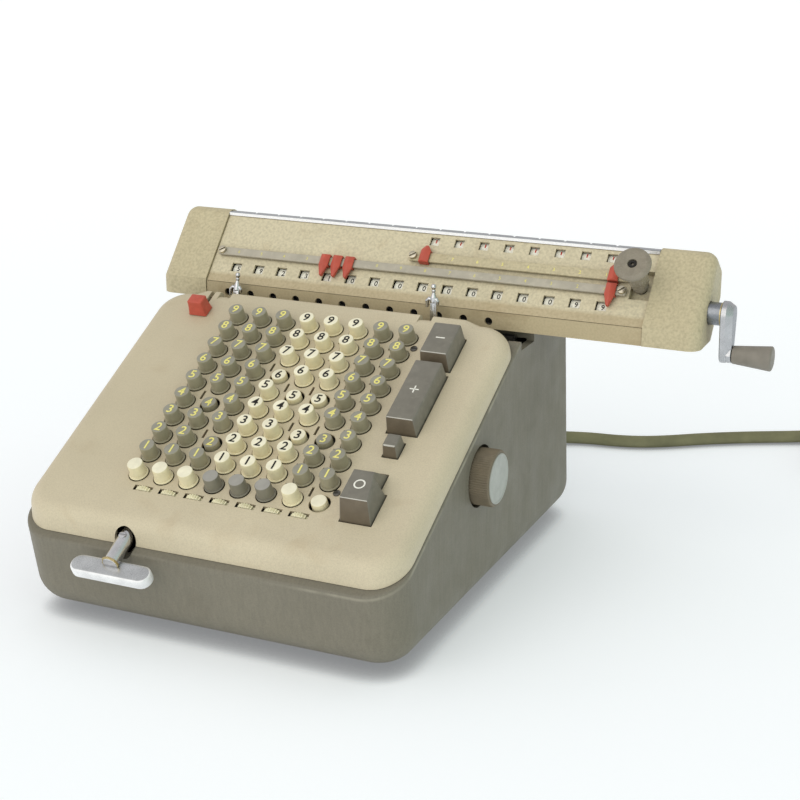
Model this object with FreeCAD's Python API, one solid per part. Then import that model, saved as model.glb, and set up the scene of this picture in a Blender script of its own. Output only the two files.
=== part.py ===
import FreeCAD, Part
import math
import os

from FreeCAD import Vector

os.makedirs("parts", exist_ok=True)

# A full-keyboard desk calculator. Millimetres and degrees. X runs to the right, Y to the back,
# Z up from the table, and the origin lies on the table under the middle of the housing.

# Clearances
slide_gap = 0.4
bearing_gap = 0.05
joint_gap = 0.3
overcut = 1.0

# Keyboard
columns = 8
digit_rows = 9
column_pitch = 17.0
row_pitch = 15.37
keyboard_shift = 1.5
plate_tilt = 27.6
plate_y = -114.0
plate_height = 89.0

# Digit keys; the latched ones are named by their rows, column by column
key_top_radius = 4.4
key_foot_radius = 4.9
key_flange_radius = 6.4
key_flange_height = 0.9
key_height = 8.9
key_edge = 0.4
key_stem_radius = 2.5
key_stem_length = 24.0
key_travel = 6.2
key_hole_gap = 0.8
latched_rows = ["", "4", "2", "6", "5", "35", "3", "0"]

# Function keys
function_key_offset = 16.9
function_key_width = 19.1
plus_height = 12.2
plus_slope = 1.4
minus_height = 13.0
minus_slope = 2.0
small_key_offset = 21.9
small_key_width = 9.3
small_height = 8.2
small_slope = 2.0
zero_key_offset = 16.5
zero_key_width = 18.9
zero_height = 15.0
zero_slope = 4.8
zero_step_depth = 4.7
zero_back_slope = 11.5
function_key_left_draw = 0.07
function_key_right_draw = 0.03
function_key_draw_back = 0.4
function_key_depth = 7.5
function_key_gap = 0.7
function_stem_radius = 2.5
function_stem_margin = 4.7

# Top cover
cover_side_step = 0.8
cover_front = -36.0
cover_back_margin = 24.67
cover_depth = 13.0
cover_wall = 2.5
cover_corner_radius = 21.0
cover_edge_radius = 10.0
slit_width = 1.6
slit_start = 0.25
slit_end = 0.72
lever_notch_half_width = 4.2
lever_notch_depth = 3.2

# Decimal thumbwheels
wheel_radius = 7.5
wheel_axis_depth = 5.1
wheel_width = 3.0
wheel_row = -10.5
decimal_rod_radius = 1.8
wheel_slot_gap = 0.5

# Key guide plate under the cover
guide_depth = 15.0
guide_thickness = 2.0
guide_front_margin = 7.5
guide_back_margin = 5.0
rod_bearing_width = 3.0
rod_bearing_margin = 9.0

# Base housing
foot_height = 6.2
foot_radius = 11.0
foot_taper = 1.0
foot_side_margin = 36.5
foot_front_margin = 41.9
foot_back_margin = 23.0
key_field_margin = 65.0
base_wall = 5.0
front_lip = 5.0
front_lean = 0.2
deck_drop = 1.16
deck_thickness = 4.0
deck_behind_carriage = 21.0
back_lean = 0.25
base_front_radius = 24.0
base_back_radius = 6.5
base_back_low_radius = 30.0
base_bottom_radius = 20.0
rim_gap = 0.3
rim_edge_radius = 2.0
rim_ledge_width = 3.0
rim_ledge_height = 4.0
trough_depth = 5.5
trough_margin = 10.6

# Bottom plate
bottom_plate_thickness = 1.5
bottom_plate_side_margin = 7.0
bottom_plate_front_margin = 10.0
bottom_plate_back_margin = 12.0
bottom_opening_margin = 10.0
plate_screw_rows = 3

# Screws
screw_head_radius = 3.4
screw_head_height = 1.8
foot_screw_seat = 3.0
screw_radius = 1.9
screw_hole_gap = 0.1
cover_screw_head_radius = 2.2
cover_screw_head_height = 0.8
cover_screw_radius = 1.2
cover_screw_length = 9.0
cover_screw_offset = 6.7

# Inner frame
frame_thickness = 3.0
frame_side_room = 18.5
frame_front_room = 27.9
frame_back_room = 5.0
frame_shoulder_drop = 17.5
tie_rod_radius = 4.0
front_rod_inset = 18.0
front_rod_height = 40.0
second_rod_inset = 98.0
second_rod_height = 50.0
third_rod_inset = 78.0
third_rod_drop = 16.0
back_rod_inset = 10.0
back_rod_drop = 22.0

# Drive
rotor_y = 75.0
rotor_height = 72.0
rotor_shaft_radius = 5.0
drum_radius = 13.0
drum_width = 11.0
drum_pitch = 13.5
drum_margin = 8.0
drum_tooth = 2.0
drum_tooth_count = 9
motor_radius = 31.0
motor_length = 62.0
motor_margin = 4.0
motor_bore_depth = 22.0
motor_bell_radius = 24.0
motor_bell_length = 8.0
motor_foot_half_width = 22.0

# Side knob
knob_y = -29.5
knob_drop = 31.7
knob_radius = 17.2
knob_reach = 11.3
knob_inset = 8.0
knob_shaft_radius = 4.0
knob_hole_gap = 1.8
knob_face_radius = 15.2
knob_face_step = 0.6

# Shift handle
handle_x = -48.3
handle_rise = 3.05
handle_shaft_radius = 4.7
handle_inner_length = 17.0
handle_outer_length = 19.0
handle_bar_distance = 20.0
handle_bar_length = 53.0
handle_bar_width = 12.6
handle_bar_thickness = 7.0
handle_bar_drop = 5.2
handle_bar_edge = 1.5
handle_hole_radius = 7.25
handle_bearing_half_width = 7.5
handle_bearing_room = 5.5
handle_bearing_depth = 6.0
handle_bearing_top = -3.4

# Red slider
slider_offset = 30.0
slider_row_offset = 3.17
slider_travel = 13.0
slider_base_width = 14.5
slider_top_width = 10.5
slider_base_depth = 11.0
slider_top_depth = 8.0
slider_height = 11.0
slider_stem_width = 2.0
slider_stem_length = 6.0
slider_foot_depth = 4.5
slider_foot_thickness = 2.5
slider_foot_width = 8.0

# Levers behind the cover
lever_pivot_setback = 1.29
lever_pivot_depth = 17.06
lever_left_offset = 20.2
lever_right_offset = 3.6
lever_left_lean = 11.0
lever_left_length = 24.5
lever_right_length = 31.5
lever_pin_radius = 1.5
lever_pin_half_length = 6.0
lever_blade_width = 4.2
lever_blade_thickness = 3.0
lever_blade_drop = 8.0
lever_stalk_radius = 1.4
lever_tip_radius = 2.0
lever_wing_drop = 10.0
lever_wing_half_length = 5.2
lever_wing_radius = 1.3
lever_lug_thickness = 3.0

# Carriage
face_tilt = 48.5
face_setback = 7.43
face_rise = 19.39
face_left_offset = 48.0
face_right_margin = 28.56
carriage_clearance = 2.5
apron_gap = 12.93
apron_height = 11.0
apron_thickness = 2.0
sheet_thickness = 1.5
sheet_height = 49.5
sheet_depth = 54.6
sheet_back_rise = 6.0
sheet_shoulder_rise = 39.0
sheet_ridge_margin = 1.0
sheet_top_radius = 3.0
sheet_back_radius = 6.0
cap_proud = 1.5
cap_height = 55.6
cap_depth = 56.6
cap_step_depth = 38.6
cap_step_rise = 20.0
cap_shoulder_rise = 41.0
cap_corner_radius = 9.0
cap_wall = 3.0
cap_edge_radius = 8.0
left_cap_width = 35.0
right_cap_width = 35.0
top_bar_width = 5.0
top_bar_height = 2.3
top_bar_setback = 33.6
top_bar_notch = 0.8

# Dials and windows
result_dials = 16
counter_dials = 8
first_result_offset = 18.94
first_counter_offset = 16.27
result_row = 0.9
counter_row = 34.4
dial_radius = 8.0
dial_width = 6.8
dial_gap = 2.2
dial_shaft_radius = 2.5
result_window_width = 7.3
result_window_height = 6.5
counter_window_width = 6.4
counter_window_height = 6.0

# Apron holes
apron_holes = 12
first_hole_offset = 16.6
apron_hole_radius = 2.6
apron_hole_rise = 4.6

# Carriage frame and slide
frame_plate_thickness = 2.0
frame_plate_gap = 1.0
end_plate_thickness = 3.0
slide_setback = 2.2
slide_width = 4.9
slide_side_room = 5.5
slide_rise = 8.0
slide_height = 8.0
pedestal_half_length = 10.0
shoe_front_wall = 4.2
shoe_back_wall = 2.6
shoe_roof = 3.1
shoe_reach = 6.0
shoe_half_length = 10.0
left_shoe_x = -5.0
right_shoe_x = 88.0
pad_x = 70.0
pad_half_length = 10.0
pad_setback = 34.6
pad_depth = 15.0

# Marker rails and markers on the carriage face
rail_lift = 1.5
rail_thickness = 1.4
lower_rail_row = 11.3
lower_rail_width = 5.6
lower_rail_left_margin = 4.0
lower_rail_right_margin = 14.9
upper_rail_row = 21.2
upper_rail_width = 6.4
upper_rail_left_margin = 12.7
upper_rail_right_margin = 15.0
rail_post_radius = 1.5
rail_screw_radius = 2.6
rail_screw_height = 2.0
rail_screw_inset = 2.3
marker_width = 7.4
marker_wall = 0.8
marker_roof = 2.7
lower_marker_pointer = 8.2
upper_marker_pointer = 3.4
marker_point_width = 1.6
lower_markers = 3
lower_marker_offset = 64.66
lower_marker_pitch = 8.75
lower_right_marker_margin = 24.1
upper_left_marker_margin = 2.2
upper_right_marker_margin = 24.5

# Release knob on the carriage
release_margin = 7.6
release_row = 17.6
release_head_radius = 11.6
release_head_top = 27.6
release_head_height = 4.2
release_head_edge = 1.4
release_stem_radius = 6.6
release_neck_radius = 4.0
release_guide_radius = 3.2
release_guide_length = 12.0
release_travel = 3.8
recess_margin = 13.0
recess_front_row = 7.5
recess_back_row = 27.7
recess_depth = 5.0

# Clearing crank
crank_setback = 23.4
crank_rise = 18.8
crank_boss_radius = 7.0
crank_boss_length = 8.0
crank_boss_inset = 2.5
crank_shaft_radius = 4.0
crank_shaft_length = 40.0
crank_arm_thickness = 7.2
crank_throw = 24.3
crank_hub_radius = 8.6
crank_end_radius = 5.7
crank_pin_radius = 2.5
grip_length = 24.0
grip_inner_radius = 5.5
grip_outer_radius = 7.7
grip_gap = 0.35
grip_end_wall = 2.0

# Mains lead
cord_radius = 4.75
cord_bend_share = 0.45
gland_radius = 8.0
gland_tip_radius = 6.2
gland_flange_radius = 11.0
gland_flange_inset = 11.0
gland_flange_thickness = 3.0
gland_inner_length = 18.0
cord_route = [
    (40.0, 176.0, 38.0),
    (40.0, 195.0, 38.0),
    (40.0, 216.0, 33.5),
    (40.0, 236.0, 24.0),
    (46.2, 255.0, 14.0),
    (57.9, 271.2, 7.2),
    (74.1, 283.0, 4.85),
    (93.1, 289.2, 4.75),
    (113.0, 291.0, 4.8),
    (132.0, 296.5, 4.75),
    (150.0, 306.0, 4.8),
    (174.0, 323.5, 4.75),
    (206.0, 342.0, 4.8),
    (240.0, 358.0, 5.0),
    (274.0, 373.0, 6.4),
    (304.0, 385.5, 6.4),
]

# Coil of the lead, its tie and the plug
coil_outer_radius = 60.0
coil_step = 10.2
coil_layer_height = 10.2
coil_half_turns_in = 4
coil_half_turns_out = 4
coil_inner_draw = 1.1
coil_climb_draw = 2.5
coil_climb_step = 8.0
coil_tail = 44.0
tie_thickness = 1.2
tie_width = 12.0
tie_gap = 0.5
tie_side_gap = 2.0
plug_radius = 16.0
plug_neck_radius = 7.5
plug_neck_length = 18.0
plug_body_length = 32.0
plug_pin_radius = 2.4
plug_pin_length = 19.0
plug_pin_spacing = 19.0

tilt_sine = math.sin(math.radians(plate_tilt))
tilt_cosine = math.cos(math.radians(plate_tilt))
tilt_tangent = math.tan(math.radians(plate_tilt))


# Places on the tilted plate: v runs up the slope, n stands out from it

def plate_point(x, v, n):
    y = plate_y + v * tilt_cosine - n * tilt_sine
    return Vector(x, y, plate_height + v * tilt_sine + n * tilt_cosine)


def rim_height(y):
    # Height of the joint plane between cover and base.
    depth = cover_depth + rim_gap
    return plate_height + (-depth + (y - plate_y) * tilt_sine) / tilt_cosine


# Sizes that follow from those above: the keyboard
key_field_half = (columns - 1) / 2 * column_pitch
first_column_x = keyboard_shift - key_field_half
last_column_x = keyboard_shift + key_field_half
last_row = digit_rows * row_pitch
function_left = last_column_x + function_key_offset
function_right = function_left + function_key_width
small_left = last_column_x + small_key_offset
zero_left = last_column_x + zero_key_offset
zero_right = zero_left + zero_key_width
zero_front = -0.62 * row_pitch
zero_step = 0.865 * row_pitch
zero_back = 1.82 * row_pitch
plus_key = (function_left, function_right, 3.9 * row_pitch, 7.2 * row_pitch, plus_height, plus_slope)
minus_key = (function_left, function_right, 7.475 * row_pitch, 9.345 * row_pitch, minus_height, minus_slope)
small_key = (small_left, small_left + small_key_width, 2.695 * row_pitch, 3.46 * row_pitch,
             small_height, small_slope)
zero_key = (zero_left, zero_right, zero_front, zero_back, zero_height, zero_slope)
cover_screws = [(last_column_x + cover_screw_offset, 8.5 * row_pitch),
                (last_column_x + cover_screw_offset, 0.6 * row_pitch)]

# The cover, the guide plate and the slider
body_half_width = key_field_half + key_field_margin
cover_half_width = body_half_width - cover_side_step
cover_back = last_row + cover_back_margin
cover_bottom_front = plate_point(0, cover_front - cover_depth * tilt_tangent, -cover_depth)
cover_bottom_back = plate_point(0, cover_back, -cover_depth)
guide_front = wheel_row - guide_front_margin
guide_back = cover_back - guide_back_margin
rod_bearing_back = guide_back - rod_bearing_margin
slider_x = first_column_x - slider_offset
slider_row = last_row + slider_row_offset
handle_exit_y = cover_bottom_front.y
handle_exit_height = cover_bottom_front.z + handle_rise
handle_bearing_front = cover_front + handle_bearing_room
handle_bearing_back = handle_bearing_front + handle_bearing_depth
lever_pivot = plate_point(0, cover_back + lever_pivot_setback, -lever_pivot_depth)
lever_left_x = first_column_x - lever_left_offset
lever_right_x = last_column_x + lever_right_offset

# The carriage
deck_height = rim_height(cover_bottom_back.y) - deck_drop
carriage_bottom = deck_height + carriage_clearance
apron_y = cover_bottom_back.y + apron_gap
apron_top = carriage_bottom + apron_height
apron_hole_height = carriage_bottom + apron_hole_rise
face_y = apron_y + face_setback
face_height = carriage_bottom + face_rise
face_left_x = first_column_x - face_left_offset
first_result_x = face_left_x + first_result_offset
last_result_x = first_result_x + (result_dials - 1) * column_pitch
first_counter_x = last_result_x - counter_dials * column_pitch + first_counter_offset
face_right_x = last_result_x + face_right_margin
first_apron_hole_x = face_left_x + first_hole_offset
sheet_top = carriage_bottom + sheet_height
sheet_back_y = apron_y + sheet_depth
sheet_back_bottom = carriage_bottom + sheet_back_rise
sheet_shoulder_height = carriage_bottom + sheet_shoulder_rise
cap_top = carriage_bottom + cap_height
cap_back_y = apron_y + cap_depth
cap_step_y = apron_y + cap_step_depth
cap_step_height = carriage_bottom + cap_step_rise
cap_shoulder_height = carriage_bottom + cap_shoulder_rise
top_bar_front_y = apron_y + top_bar_setback
sheet_ridge_y = top_bar_front_y + top_bar_width + sheet_ridge_margin
crank_y = apron_y + crank_setback
crank_height = carriage_bottom + crank_rise
lower_rail_left_x = face_left_x + lower_rail_left_margin
lower_rail_right_x = face_right_x - lower_rail_right_margin
upper_rail_left_x = first_counter_x - upper_rail_left_margin
upper_rail_right_x = face_right_x - upper_rail_right_margin
first_lower_marker_x = first_result_x + lower_marker_offset
lower_right_marker_x = face_right_x - lower_right_marker_margin
upper_left_marker_x = first_counter_x - upper_left_marker_margin
upper_right_marker_x = face_right_x - upper_right_marker_margin
release_x = face_right_x - release_margin
recess_left_x = face_right_x - recess_margin

# The base, the frame in it and the slide on the frame
deck_back_y = cap_back_y + deck_behind_carriage
trough_floor = deck_height - trough_depth
trough_back_y = apron_y + trough_margin
foot_x = body_half_width - foot_side_margin
foot_front_y = handle_exit_y + foot_front_margin
foot_back_y = deck_back_y - foot_back_margin
bottom_plate_half_width = foot_x + bottom_plate_side_margin
bottom_plate_front_y = foot_front_y - bottom_plate_front_margin
bottom_plate_back_y = foot_back_y + bottom_plate_back_margin
frame_inner_x = body_half_width - base_wall - frame_side_room - frame_thickness
frame_front_y = handle_exit_y + frame_front_room
frame_back_y = deck_back_y - frame_back_room
frame_shoulder_height = deck_height - frame_shoulder_drop
tie_rods = [
    (frame_front_y + front_rod_inset, front_rod_height),
    (frame_front_y + second_rod_inset, second_rod_height),
    (frame_back_y - third_rod_inset, frame_shoulder_height - third_rod_drop),
    (frame_back_y - back_rod_inset, frame_shoulder_height - back_rod_drop),
]
slide_half_length = body_half_width - base_wall - slide_side_room
slide_front_y = apron_y + slide_setback
slide_bottom = frame_shoulder_height + slide_rise
slide_top = slide_bottom + slide_height
pad_front_y = apron_y + pad_setback
first_drum_x = drum_margin - frame_inner_x
motor_right_x = frame_inner_x - motor_margin
motor_left_x = motor_right_x - motor_length
knob_height = rim_height(knob_y) - knob_drop

# The lead's way out through the back wall
gland_x, gland_tip_y, gland_height = cord_route[0]
gland_back_y = deck_back_y + back_lean * (deck_height - gland_height)


# Building blocks

def block(left, right, front, back, bottom, top):
    return Part.makeBox(right - left, back - front, top - bottom, Vector(left, front, bottom))


def rod(start, end, radius):
    return Part.makeCylinder(radius, (end - start).Length, start, end - start)


def cone(start, end, start_radius, end_radius):
    return Part.makeCone(start_radius, end_radius, (end - start).Length, start, end - start)


def x_rod(left, right, y, height, radius):
    return rod(Vector(left, y, height), Vector(right, y, height), radius)


def unit(vector):
    return vector / vector.Length


def turned_solid(outline):
    points = [Vector(radius, 0, height) for radius, height in outline]
    face = Part.Face(Part.makePolygon(points + [points[0]]))
    return face.revolve(Vector(0, 0, 0), Vector(0, 0, 1), 360)


def placed(shape, tilt, y, height):
    copy = shape.copy()
    copy.rotate(Vector(0, 0, 0), Vector(1, 0, 0), tilt)
    copy.translate(Vector(0, y, height))
    return copy


def on_plate(shape):
    return placed(shape, plate_tilt, plate_y, plate_height)


def on_face(shape):
    return placed(shape, face_tilt, face_y, face_height)


def moved(shape, x, y, z):
    copy = shape.copy()
    copy.translate(Vector(x, y, z))
    return copy


def write(node, *solids):
    shape = solids[0] if len(solids) == 1 else Part.makeCompound(list(solids))
    shape.exportStep("parts/" + node + ".step")


def inset(corners, distance):
    # Moves every side of a closed outline inwards; corners are (y, z, radius), counter-clockwise.
    count = len(corners)
    sides = []
    for i in range(count):
        start = Vector(0, corners[i][0], corners[i][1])
        end = Vector(0, corners[(i + 1) % count][0], corners[(i + 1) % count][1])
        along = unit(end - start)
        inward = Vector(0, -along.z, along.y)
        sides.append((start + inward * distance, along))
    result = []
    for i in range(count):
        before, before_along = sides[i - 1]
        here, here_along = sides[i]
        cross = before_along.y * here_along.z - before_along.z * here_along.y
        gap = here - before
        reach = (gap.y * here_along.z - gap.z * here_along.y) / cross
        corner = before + before_along * reach
        result.append((corner.y, corner.z, max(corners[i][2] - distance, 0.0)))
    return result


def rounded_wire(points, radii):
    # Closed outline through the points, with its corners rounded.
    count = len(points)
    joints = []
    for i in range(count):
        here = points[i]
        if radii[i] == 0:
            joints.append((here, None, here))
            continue
        before = unit(points[i - 1] - here)
        after = unit(points[(i + 1) % count] - here)
        half = before.getAngle(after) / 2
        reach = radii[i] / math.tan(half)
        middle = here + unit(before + after) * (radii[i] / math.sin(half) - radii[i])
        joints.append((here + before * reach, middle, here + after * reach))
    edges = []
    for i in range(count):
        start = joints[i - 1][2]
        end, middle, after = joints[i]
        edges.append(Part.makeLine(start, end))
        if middle is not None:
            edges.append(Part.Arc(end, middle, after).toShape())
    return Part.Wire(edges)


def profile_face(corners, x):
    points = [Vector(x, y, z) for y, z, radius in corners]
    return Part.Face(rounded_wire(points, [radius for y, z, radius in corners]))


def prism(corners, left, right):
    return profile_face(corners, left).extrude(Vector(right - left, 0, 0))


def plan_wire(half_width, front, back, front_radius, back_radius, height):
    points = [
        Vector(-half_width, front, height),
        Vector(half_width, front, height),
        Vector(half_width, back, height),
        Vector(-half_width, back, height),
    ]
    return rounded_wire(points, [front_radius, front_radius, back_radius, back_radius])


def column_x(column):
    return first_column_x + column * column_pitch


def row_v(row):
    return row * row_pitch


# Digit keys

def digit_key():
    outline = [
        (0, -key_stem_length),
        (key_stem_radius, -key_stem_length),
        (key_stem_radius, 0),
        (key_flange_radius, 0),
        (key_flange_radius, key_flange_height),
        (key_foot_radius, key_flange_height),
        (key_top_radius, key_height - key_edge),
        (key_top_radius - key_edge, key_height),
        (0, key_height),
    ]
    return turned_solid(outline)


def key_rows():
    key = digit_key()
    latched = []
    for row in range(digit_rows + 1):
        free = []
        for column in range(columns):
            if str(row) in latched_rows[column]:
                latched.append(on_plate(moved(key, column_x(column), row_v(row), -key_travel)))
            else:
                free.append(on_plate(moved(key, column_x(column), row_v(row), 0)))
        node = "keys_row_" + str(row) if row > 0 else "clear_keys"
        write(node, *free)
    write("latched_keys", *latched)


# Function keys

def outline_at(corners, height):
    points = [Vector(x, v, height) for x, v in corners]
    return Part.makePolygon(points + [points[0]])


def key_block(low, high, height):
    # A skirt below the plate and above it a loft from the low outline to the high one.
    skirt = Part.Face(outline_at(low, -function_key_depth)).extrude(Vector(0, 0, function_key_depth))
    cap = Part.makeLoft([outline_at(low, 0), outline_at(high, height)], True, True)
    return skirt.fuse(cap)


def key_body(sizes):
    left, right, front, back, height, slope = sizes
    top_left = left + function_key_left_draw * (right - left)
    top_right = right - function_key_right_draw * (right - left)
    top_front = front + slope
    top_back = back - function_key_draw_back
    low = [(left, front), (right, front), (right, back), (left, back)]
    high = [(top_left, top_front), (top_right, top_front), (top_right, top_back), (top_left, top_back)]
    return key_block(low, high, height).removeSplitter()


def zero_key_body():
    # The right side steps in behind the finger face, and the back slopes down.
    left, right, front, back, height, slope = zero_key
    narrow = right - zero_step_depth
    top_left = left + function_key_left_draw * (right - left)
    top_right = right - function_key_right_draw * (right - left)
    top_front = front + slope
    top_back = back - zero_back_slope
    front_low = [(left, front), (right, front), (right, zero_step), (left, zero_step)]
    front_high = [(top_left, top_front), (top_right, top_front), (narrow, zero_step), (top_left, zero_step)]
    back_low = [(left, zero_step), (narrow, zero_step), (narrow, back), (left, back)]
    back_high = [(top_left, zero_step), (narrow, zero_step), (narrow, top_back), (top_left, top_back)]
    finger = key_block(front_low, front_high, height)
    return finger.fuse(key_block(back_low, back_high, height)).removeSplitter()


def function_stems(sizes):
    left, right, front, back = sizes[:4]
    middle = (left + right) / 2
    places = [(middle, front + function_stem_margin)]
    if back - front > 4 * function_stem_margin:
        places.append((middle, back - function_stem_margin))
    return places


def with_stems(key, sizes):
    for x, v in function_stems(sizes):
        stem = rod(Vector(x, v, -key_stem_length), Vector(x, v, -function_key_depth), function_stem_radius)
        key = key.fuse(stem)
    return key.removeSplitter()


def function_keys():
    write("plus_key", on_plate(with_stems(key_body(plus_key), plus_key)))
    write("minus_key", on_plate(with_stems(key_body(minus_key), minus_key)))
    write("small_key", on_plate(with_stems(key_body(small_key), small_key)))
    write("zero_key", on_plate(with_stems(zero_key_body(), zero_key)))


# Top cover

def cover_shell(half_width, front, back, top, bottom, corner_radius, edge_radius):
    # The front face stands upright, so on the tilted plate it leans by the tilt.
    corners = [
        (front + bottom * tilt_tangent, bottom, 0),
        (back, bottom, 0),
        (back, top, 0),
        (front + top * tilt_tangent, top, 0),
    ]
    solid = prism(corners, -half_width, half_width)
    uprights = []
    for edge in solid.Edges:
        box = edge.BoundBox
        if box.XLength < 1e-6 and abs(box.ZLength - (top - bottom)) < 1e-6:
            uprights.append(edge)
    solid = solid.makeFillet(corner_radius, uprights)
    rims = [edge for edge in solid.Edges if edge.BoundBox.ZMin > top - 1e-6]
    return solid.makeFillet(edge_radius, rims)


def decimal_column_x(wheel):
    return column_x(wheel) + column_pitch / 2


def handle_axis():
    return Vector(0, -tilt_cosine, -tilt_sine)


def handle_point(distance):
    return Vector(handle_x, handle_exit_y, handle_exit_height) + handle_axis() * distance


def handle_hole():
    return rod(handle_point(-handle_inner_length), handle_point(handle_outer_length), handle_hole_radius)


def top_cover():
    outer = cover_shell(cover_half_width, cover_front, cover_back, 0, -cover_depth,
                        cover_corner_radius, cover_edge_radius)
    inner = cover_shell(cover_half_width - cover_wall, cover_front + cover_wall / tilt_cosine,
                        cover_back - cover_wall, -cover_wall, -cover_depth - overcut,
                        cover_corner_radius - cover_wall, cover_edge_radius - cover_wall)
    shell = outer.cut(inner)
    through_bottom = -2 * cover_wall
    cuts = []
    hole_radius = key_flange_radius + key_hole_gap
    for row in range(digit_rows + 1):
        for column in range(columns):
            base = Vector(column_x(column), row_v(row), through_bottom)
            cuts.append(Part.makeCylinder(hole_radius, 3 * cover_wall, base))
    for wheel in range(columns - 1):
        x = decimal_column_x(wheel)
        half_slot = wheel_width / 2 + wheel_slot_gap
        cuts.append(rod(Vector(x, wheel_row - half_slot, -wheel_axis_depth),
                        Vector(x, wheel_row + half_slot, -wheel_axis_depth), wheel_radius + wheel_slot_gap))
        for row in range(digit_rows):
            cuts.append(block(x - slit_width / 2, x + slit_width / 2,
                              row_v(row + slit_start), row_v(row + slit_end), through_bottom, cover_wall))
    zero_narrow = zero_right - zero_step_depth
    for left, right, front, back in (plus_key[:4], minus_key[:4], small_key[:4],
                                     (zero_left, zero_right, zero_front, zero_step),
                                     (zero_left, zero_narrow, zero_front, zero_back)):
        cuts.append(block(left - function_key_gap, right + function_key_gap, front - function_key_gap,
                          back + function_key_gap, through_bottom, cover_wall))
    slot_half = slider_stem_width / 2 + slide_gap
    slot_front = slider_row - slider_stem_length / 2 - slide_gap
    slot_back = slider_row + slider_travel + slider_stem_length / 2 + slide_gap
    cuts.append(block(slider_x - slot_half, slider_x + slot_half, slot_front, slot_back,
                      through_bottom, cover_wall))
    for x, v in cover_screws:
        cuts.append(rod(Vector(x, v, through_bottom), Vector(x, v, cover_wall),
                        cover_screw_radius + screw_hole_gap))
    for x in (lever_left_x, lever_right_x):
        cuts.append(block(x - lever_notch_half_width, x + lever_notch_half_width,
                          cover_back - lever_notch_depth, cover_back + overcut,
                          -cover_depth - overcut, cover_wall))
    plate = on_plate(shell.cut(cuts))
    write("top_cover", plate.cut(handle_hole()))


# Decimal thumbwheels

def decimal_wheels():
    front = guide_front + rod_bearing_width / 3
    back = rod_bearing_back - rod_bearing_width / 3
    depth = -wheel_axis_depth
    for wheel in range(columns - 1):
        x = decimal_column_x(wheel)
        shaft = rod(Vector(x, front, depth), Vector(x, back, depth), decimal_rod_radius)
        disc = rod(Vector(x, wheel_row - wheel_width / 2, depth),
                   Vector(x, wheel_row + wheel_width / 2, depth), wheel_radius)
        write("decimal_wheel_" + str(wheel + 1), on_plate(shaft.fuse(disc).removeSplitter()))


# Key guide plate with the bearings of the decimal rods, the handle and the levers


def key_guide_plate():
    top = -guide_depth
    bottom = top - guide_thickness
    plate = block(-frame_inner_x, frame_inner_x, guide_front, guide_back, bottom, top)
    strip_left = column_x(0)
    strip_right = column_x(columns - 1)
    strip_top = -cover_wall - slide_gap
    for front in (guide_front, rod_bearing_back - rod_bearing_width):
        plate = plate.fuse(block(strip_left, strip_right, front, front + rod_bearing_width, top, strip_top))
    pivot_v = cover_back + lever_pivot_setback
    pivot_n = -lever_pivot_depth
    lug_half = lever_pin_radius + lever_lug_thickness
    slot_half = lever_blade_width / 2 + slide_gap
    for x in (lever_left_x, lever_right_x):
        lug_reach = lever_pin_half_length + lever_lug_thickness / 2
        lug = block(x - lug_reach, x + lug_reach, guide_back - overcut, pivot_v + lug_half,
                    pivot_n - lug_half, top)
        slot = block(x - slot_half, x + slot_half, guide_back + slide_gap, pivot_v + lug_half + overcut,
                     pivot_n - lug_half - overcut, top + overcut)
        pin_reach = lever_pin_half_length + joint_gap
        bore = rod(Vector(x - pin_reach, pivot_v, pivot_n), Vector(x + pin_reach, pivot_v, pivot_n),
                   lever_pin_radius + bearing_gap)
        plate = plate.fuse(lug).cut(slot).cut(bore)
    tongue_left = handle_x - handle_bearing_half_width
    tongue_right = handle_x + handle_bearing_half_width
    tongue = block(tongue_left, tongue_right, handle_bearing_front, guide_front + overcut, bottom, top)
    post = block(tongue_left, tongue_right, handle_bearing_front, handle_bearing_back,
                 bottom, handle_bearing_top)
    plate = plate.fuse(tongue).fuse(post)
    cut_height = guide_thickness + 2 * overcut
    cuts = []
    for row in range(digit_rows + 1):
        for column in range(columns):
            base = Vector(column_x(column), row_v(row), bottom - overcut)
            cuts.append(Part.makeCylinder(key_stem_radius + slide_gap, cut_height, base))
    for sizes in (plus_key, minus_key, zero_key, small_key):
        for x, v in function_stems(sizes):
            base = Vector(x, v, bottom - overcut)
            cuts.append(Part.makeCylinder(function_stem_radius + slide_gap, cut_height, base))
    for wheel in range(columns - 1):
        x = decimal_column_x(wheel)
        cuts.append(rod(Vector(x, guide_front - overcut, -wheel_axis_depth),
                        Vector(x, guide_back + overcut, -wheel_axis_depth),
                        decimal_rod_radius + bearing_gap))
    shape = on_plate(plate.cut(cuts).removeSplitter())
    bore = rod(handle_point(-2 * handle_inner_length), handle_point(0), handle_shaft_radius + bearing_gap)
    write("key_guide_plate", shape.cut(bore))


# Base housing

def front_y_at(height):
    front_y = handle_exit_y - front_lip
    return front_y + front_lean * (rim_height(front_y) - height)


def back_y_at(height):
    return deck_back_y + back_lean * (deck_height - height)


def tub(wall, low, high):
    # The housing's outer form, or its hollow when a wall is given.
    wires = []
    for height, back_radius in ((low, base_back_low_radius), (high, base_back_radius)):
        wires.append(plan_wire(body_half_width - wall, front_y_at(height) + wall, back_y_at(height) - wall,
                               base_front_radius - wall, back_radius - wall, height))
    solid = Part.makeLoft(wires, True, True)
    floor_edges = [edge for edge in solid.Edges if edge.BoundBox.ZMax < low + 1e-6]
    return solid.makeFillet(base_bottom_radius - wall, floor_edges)



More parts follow.
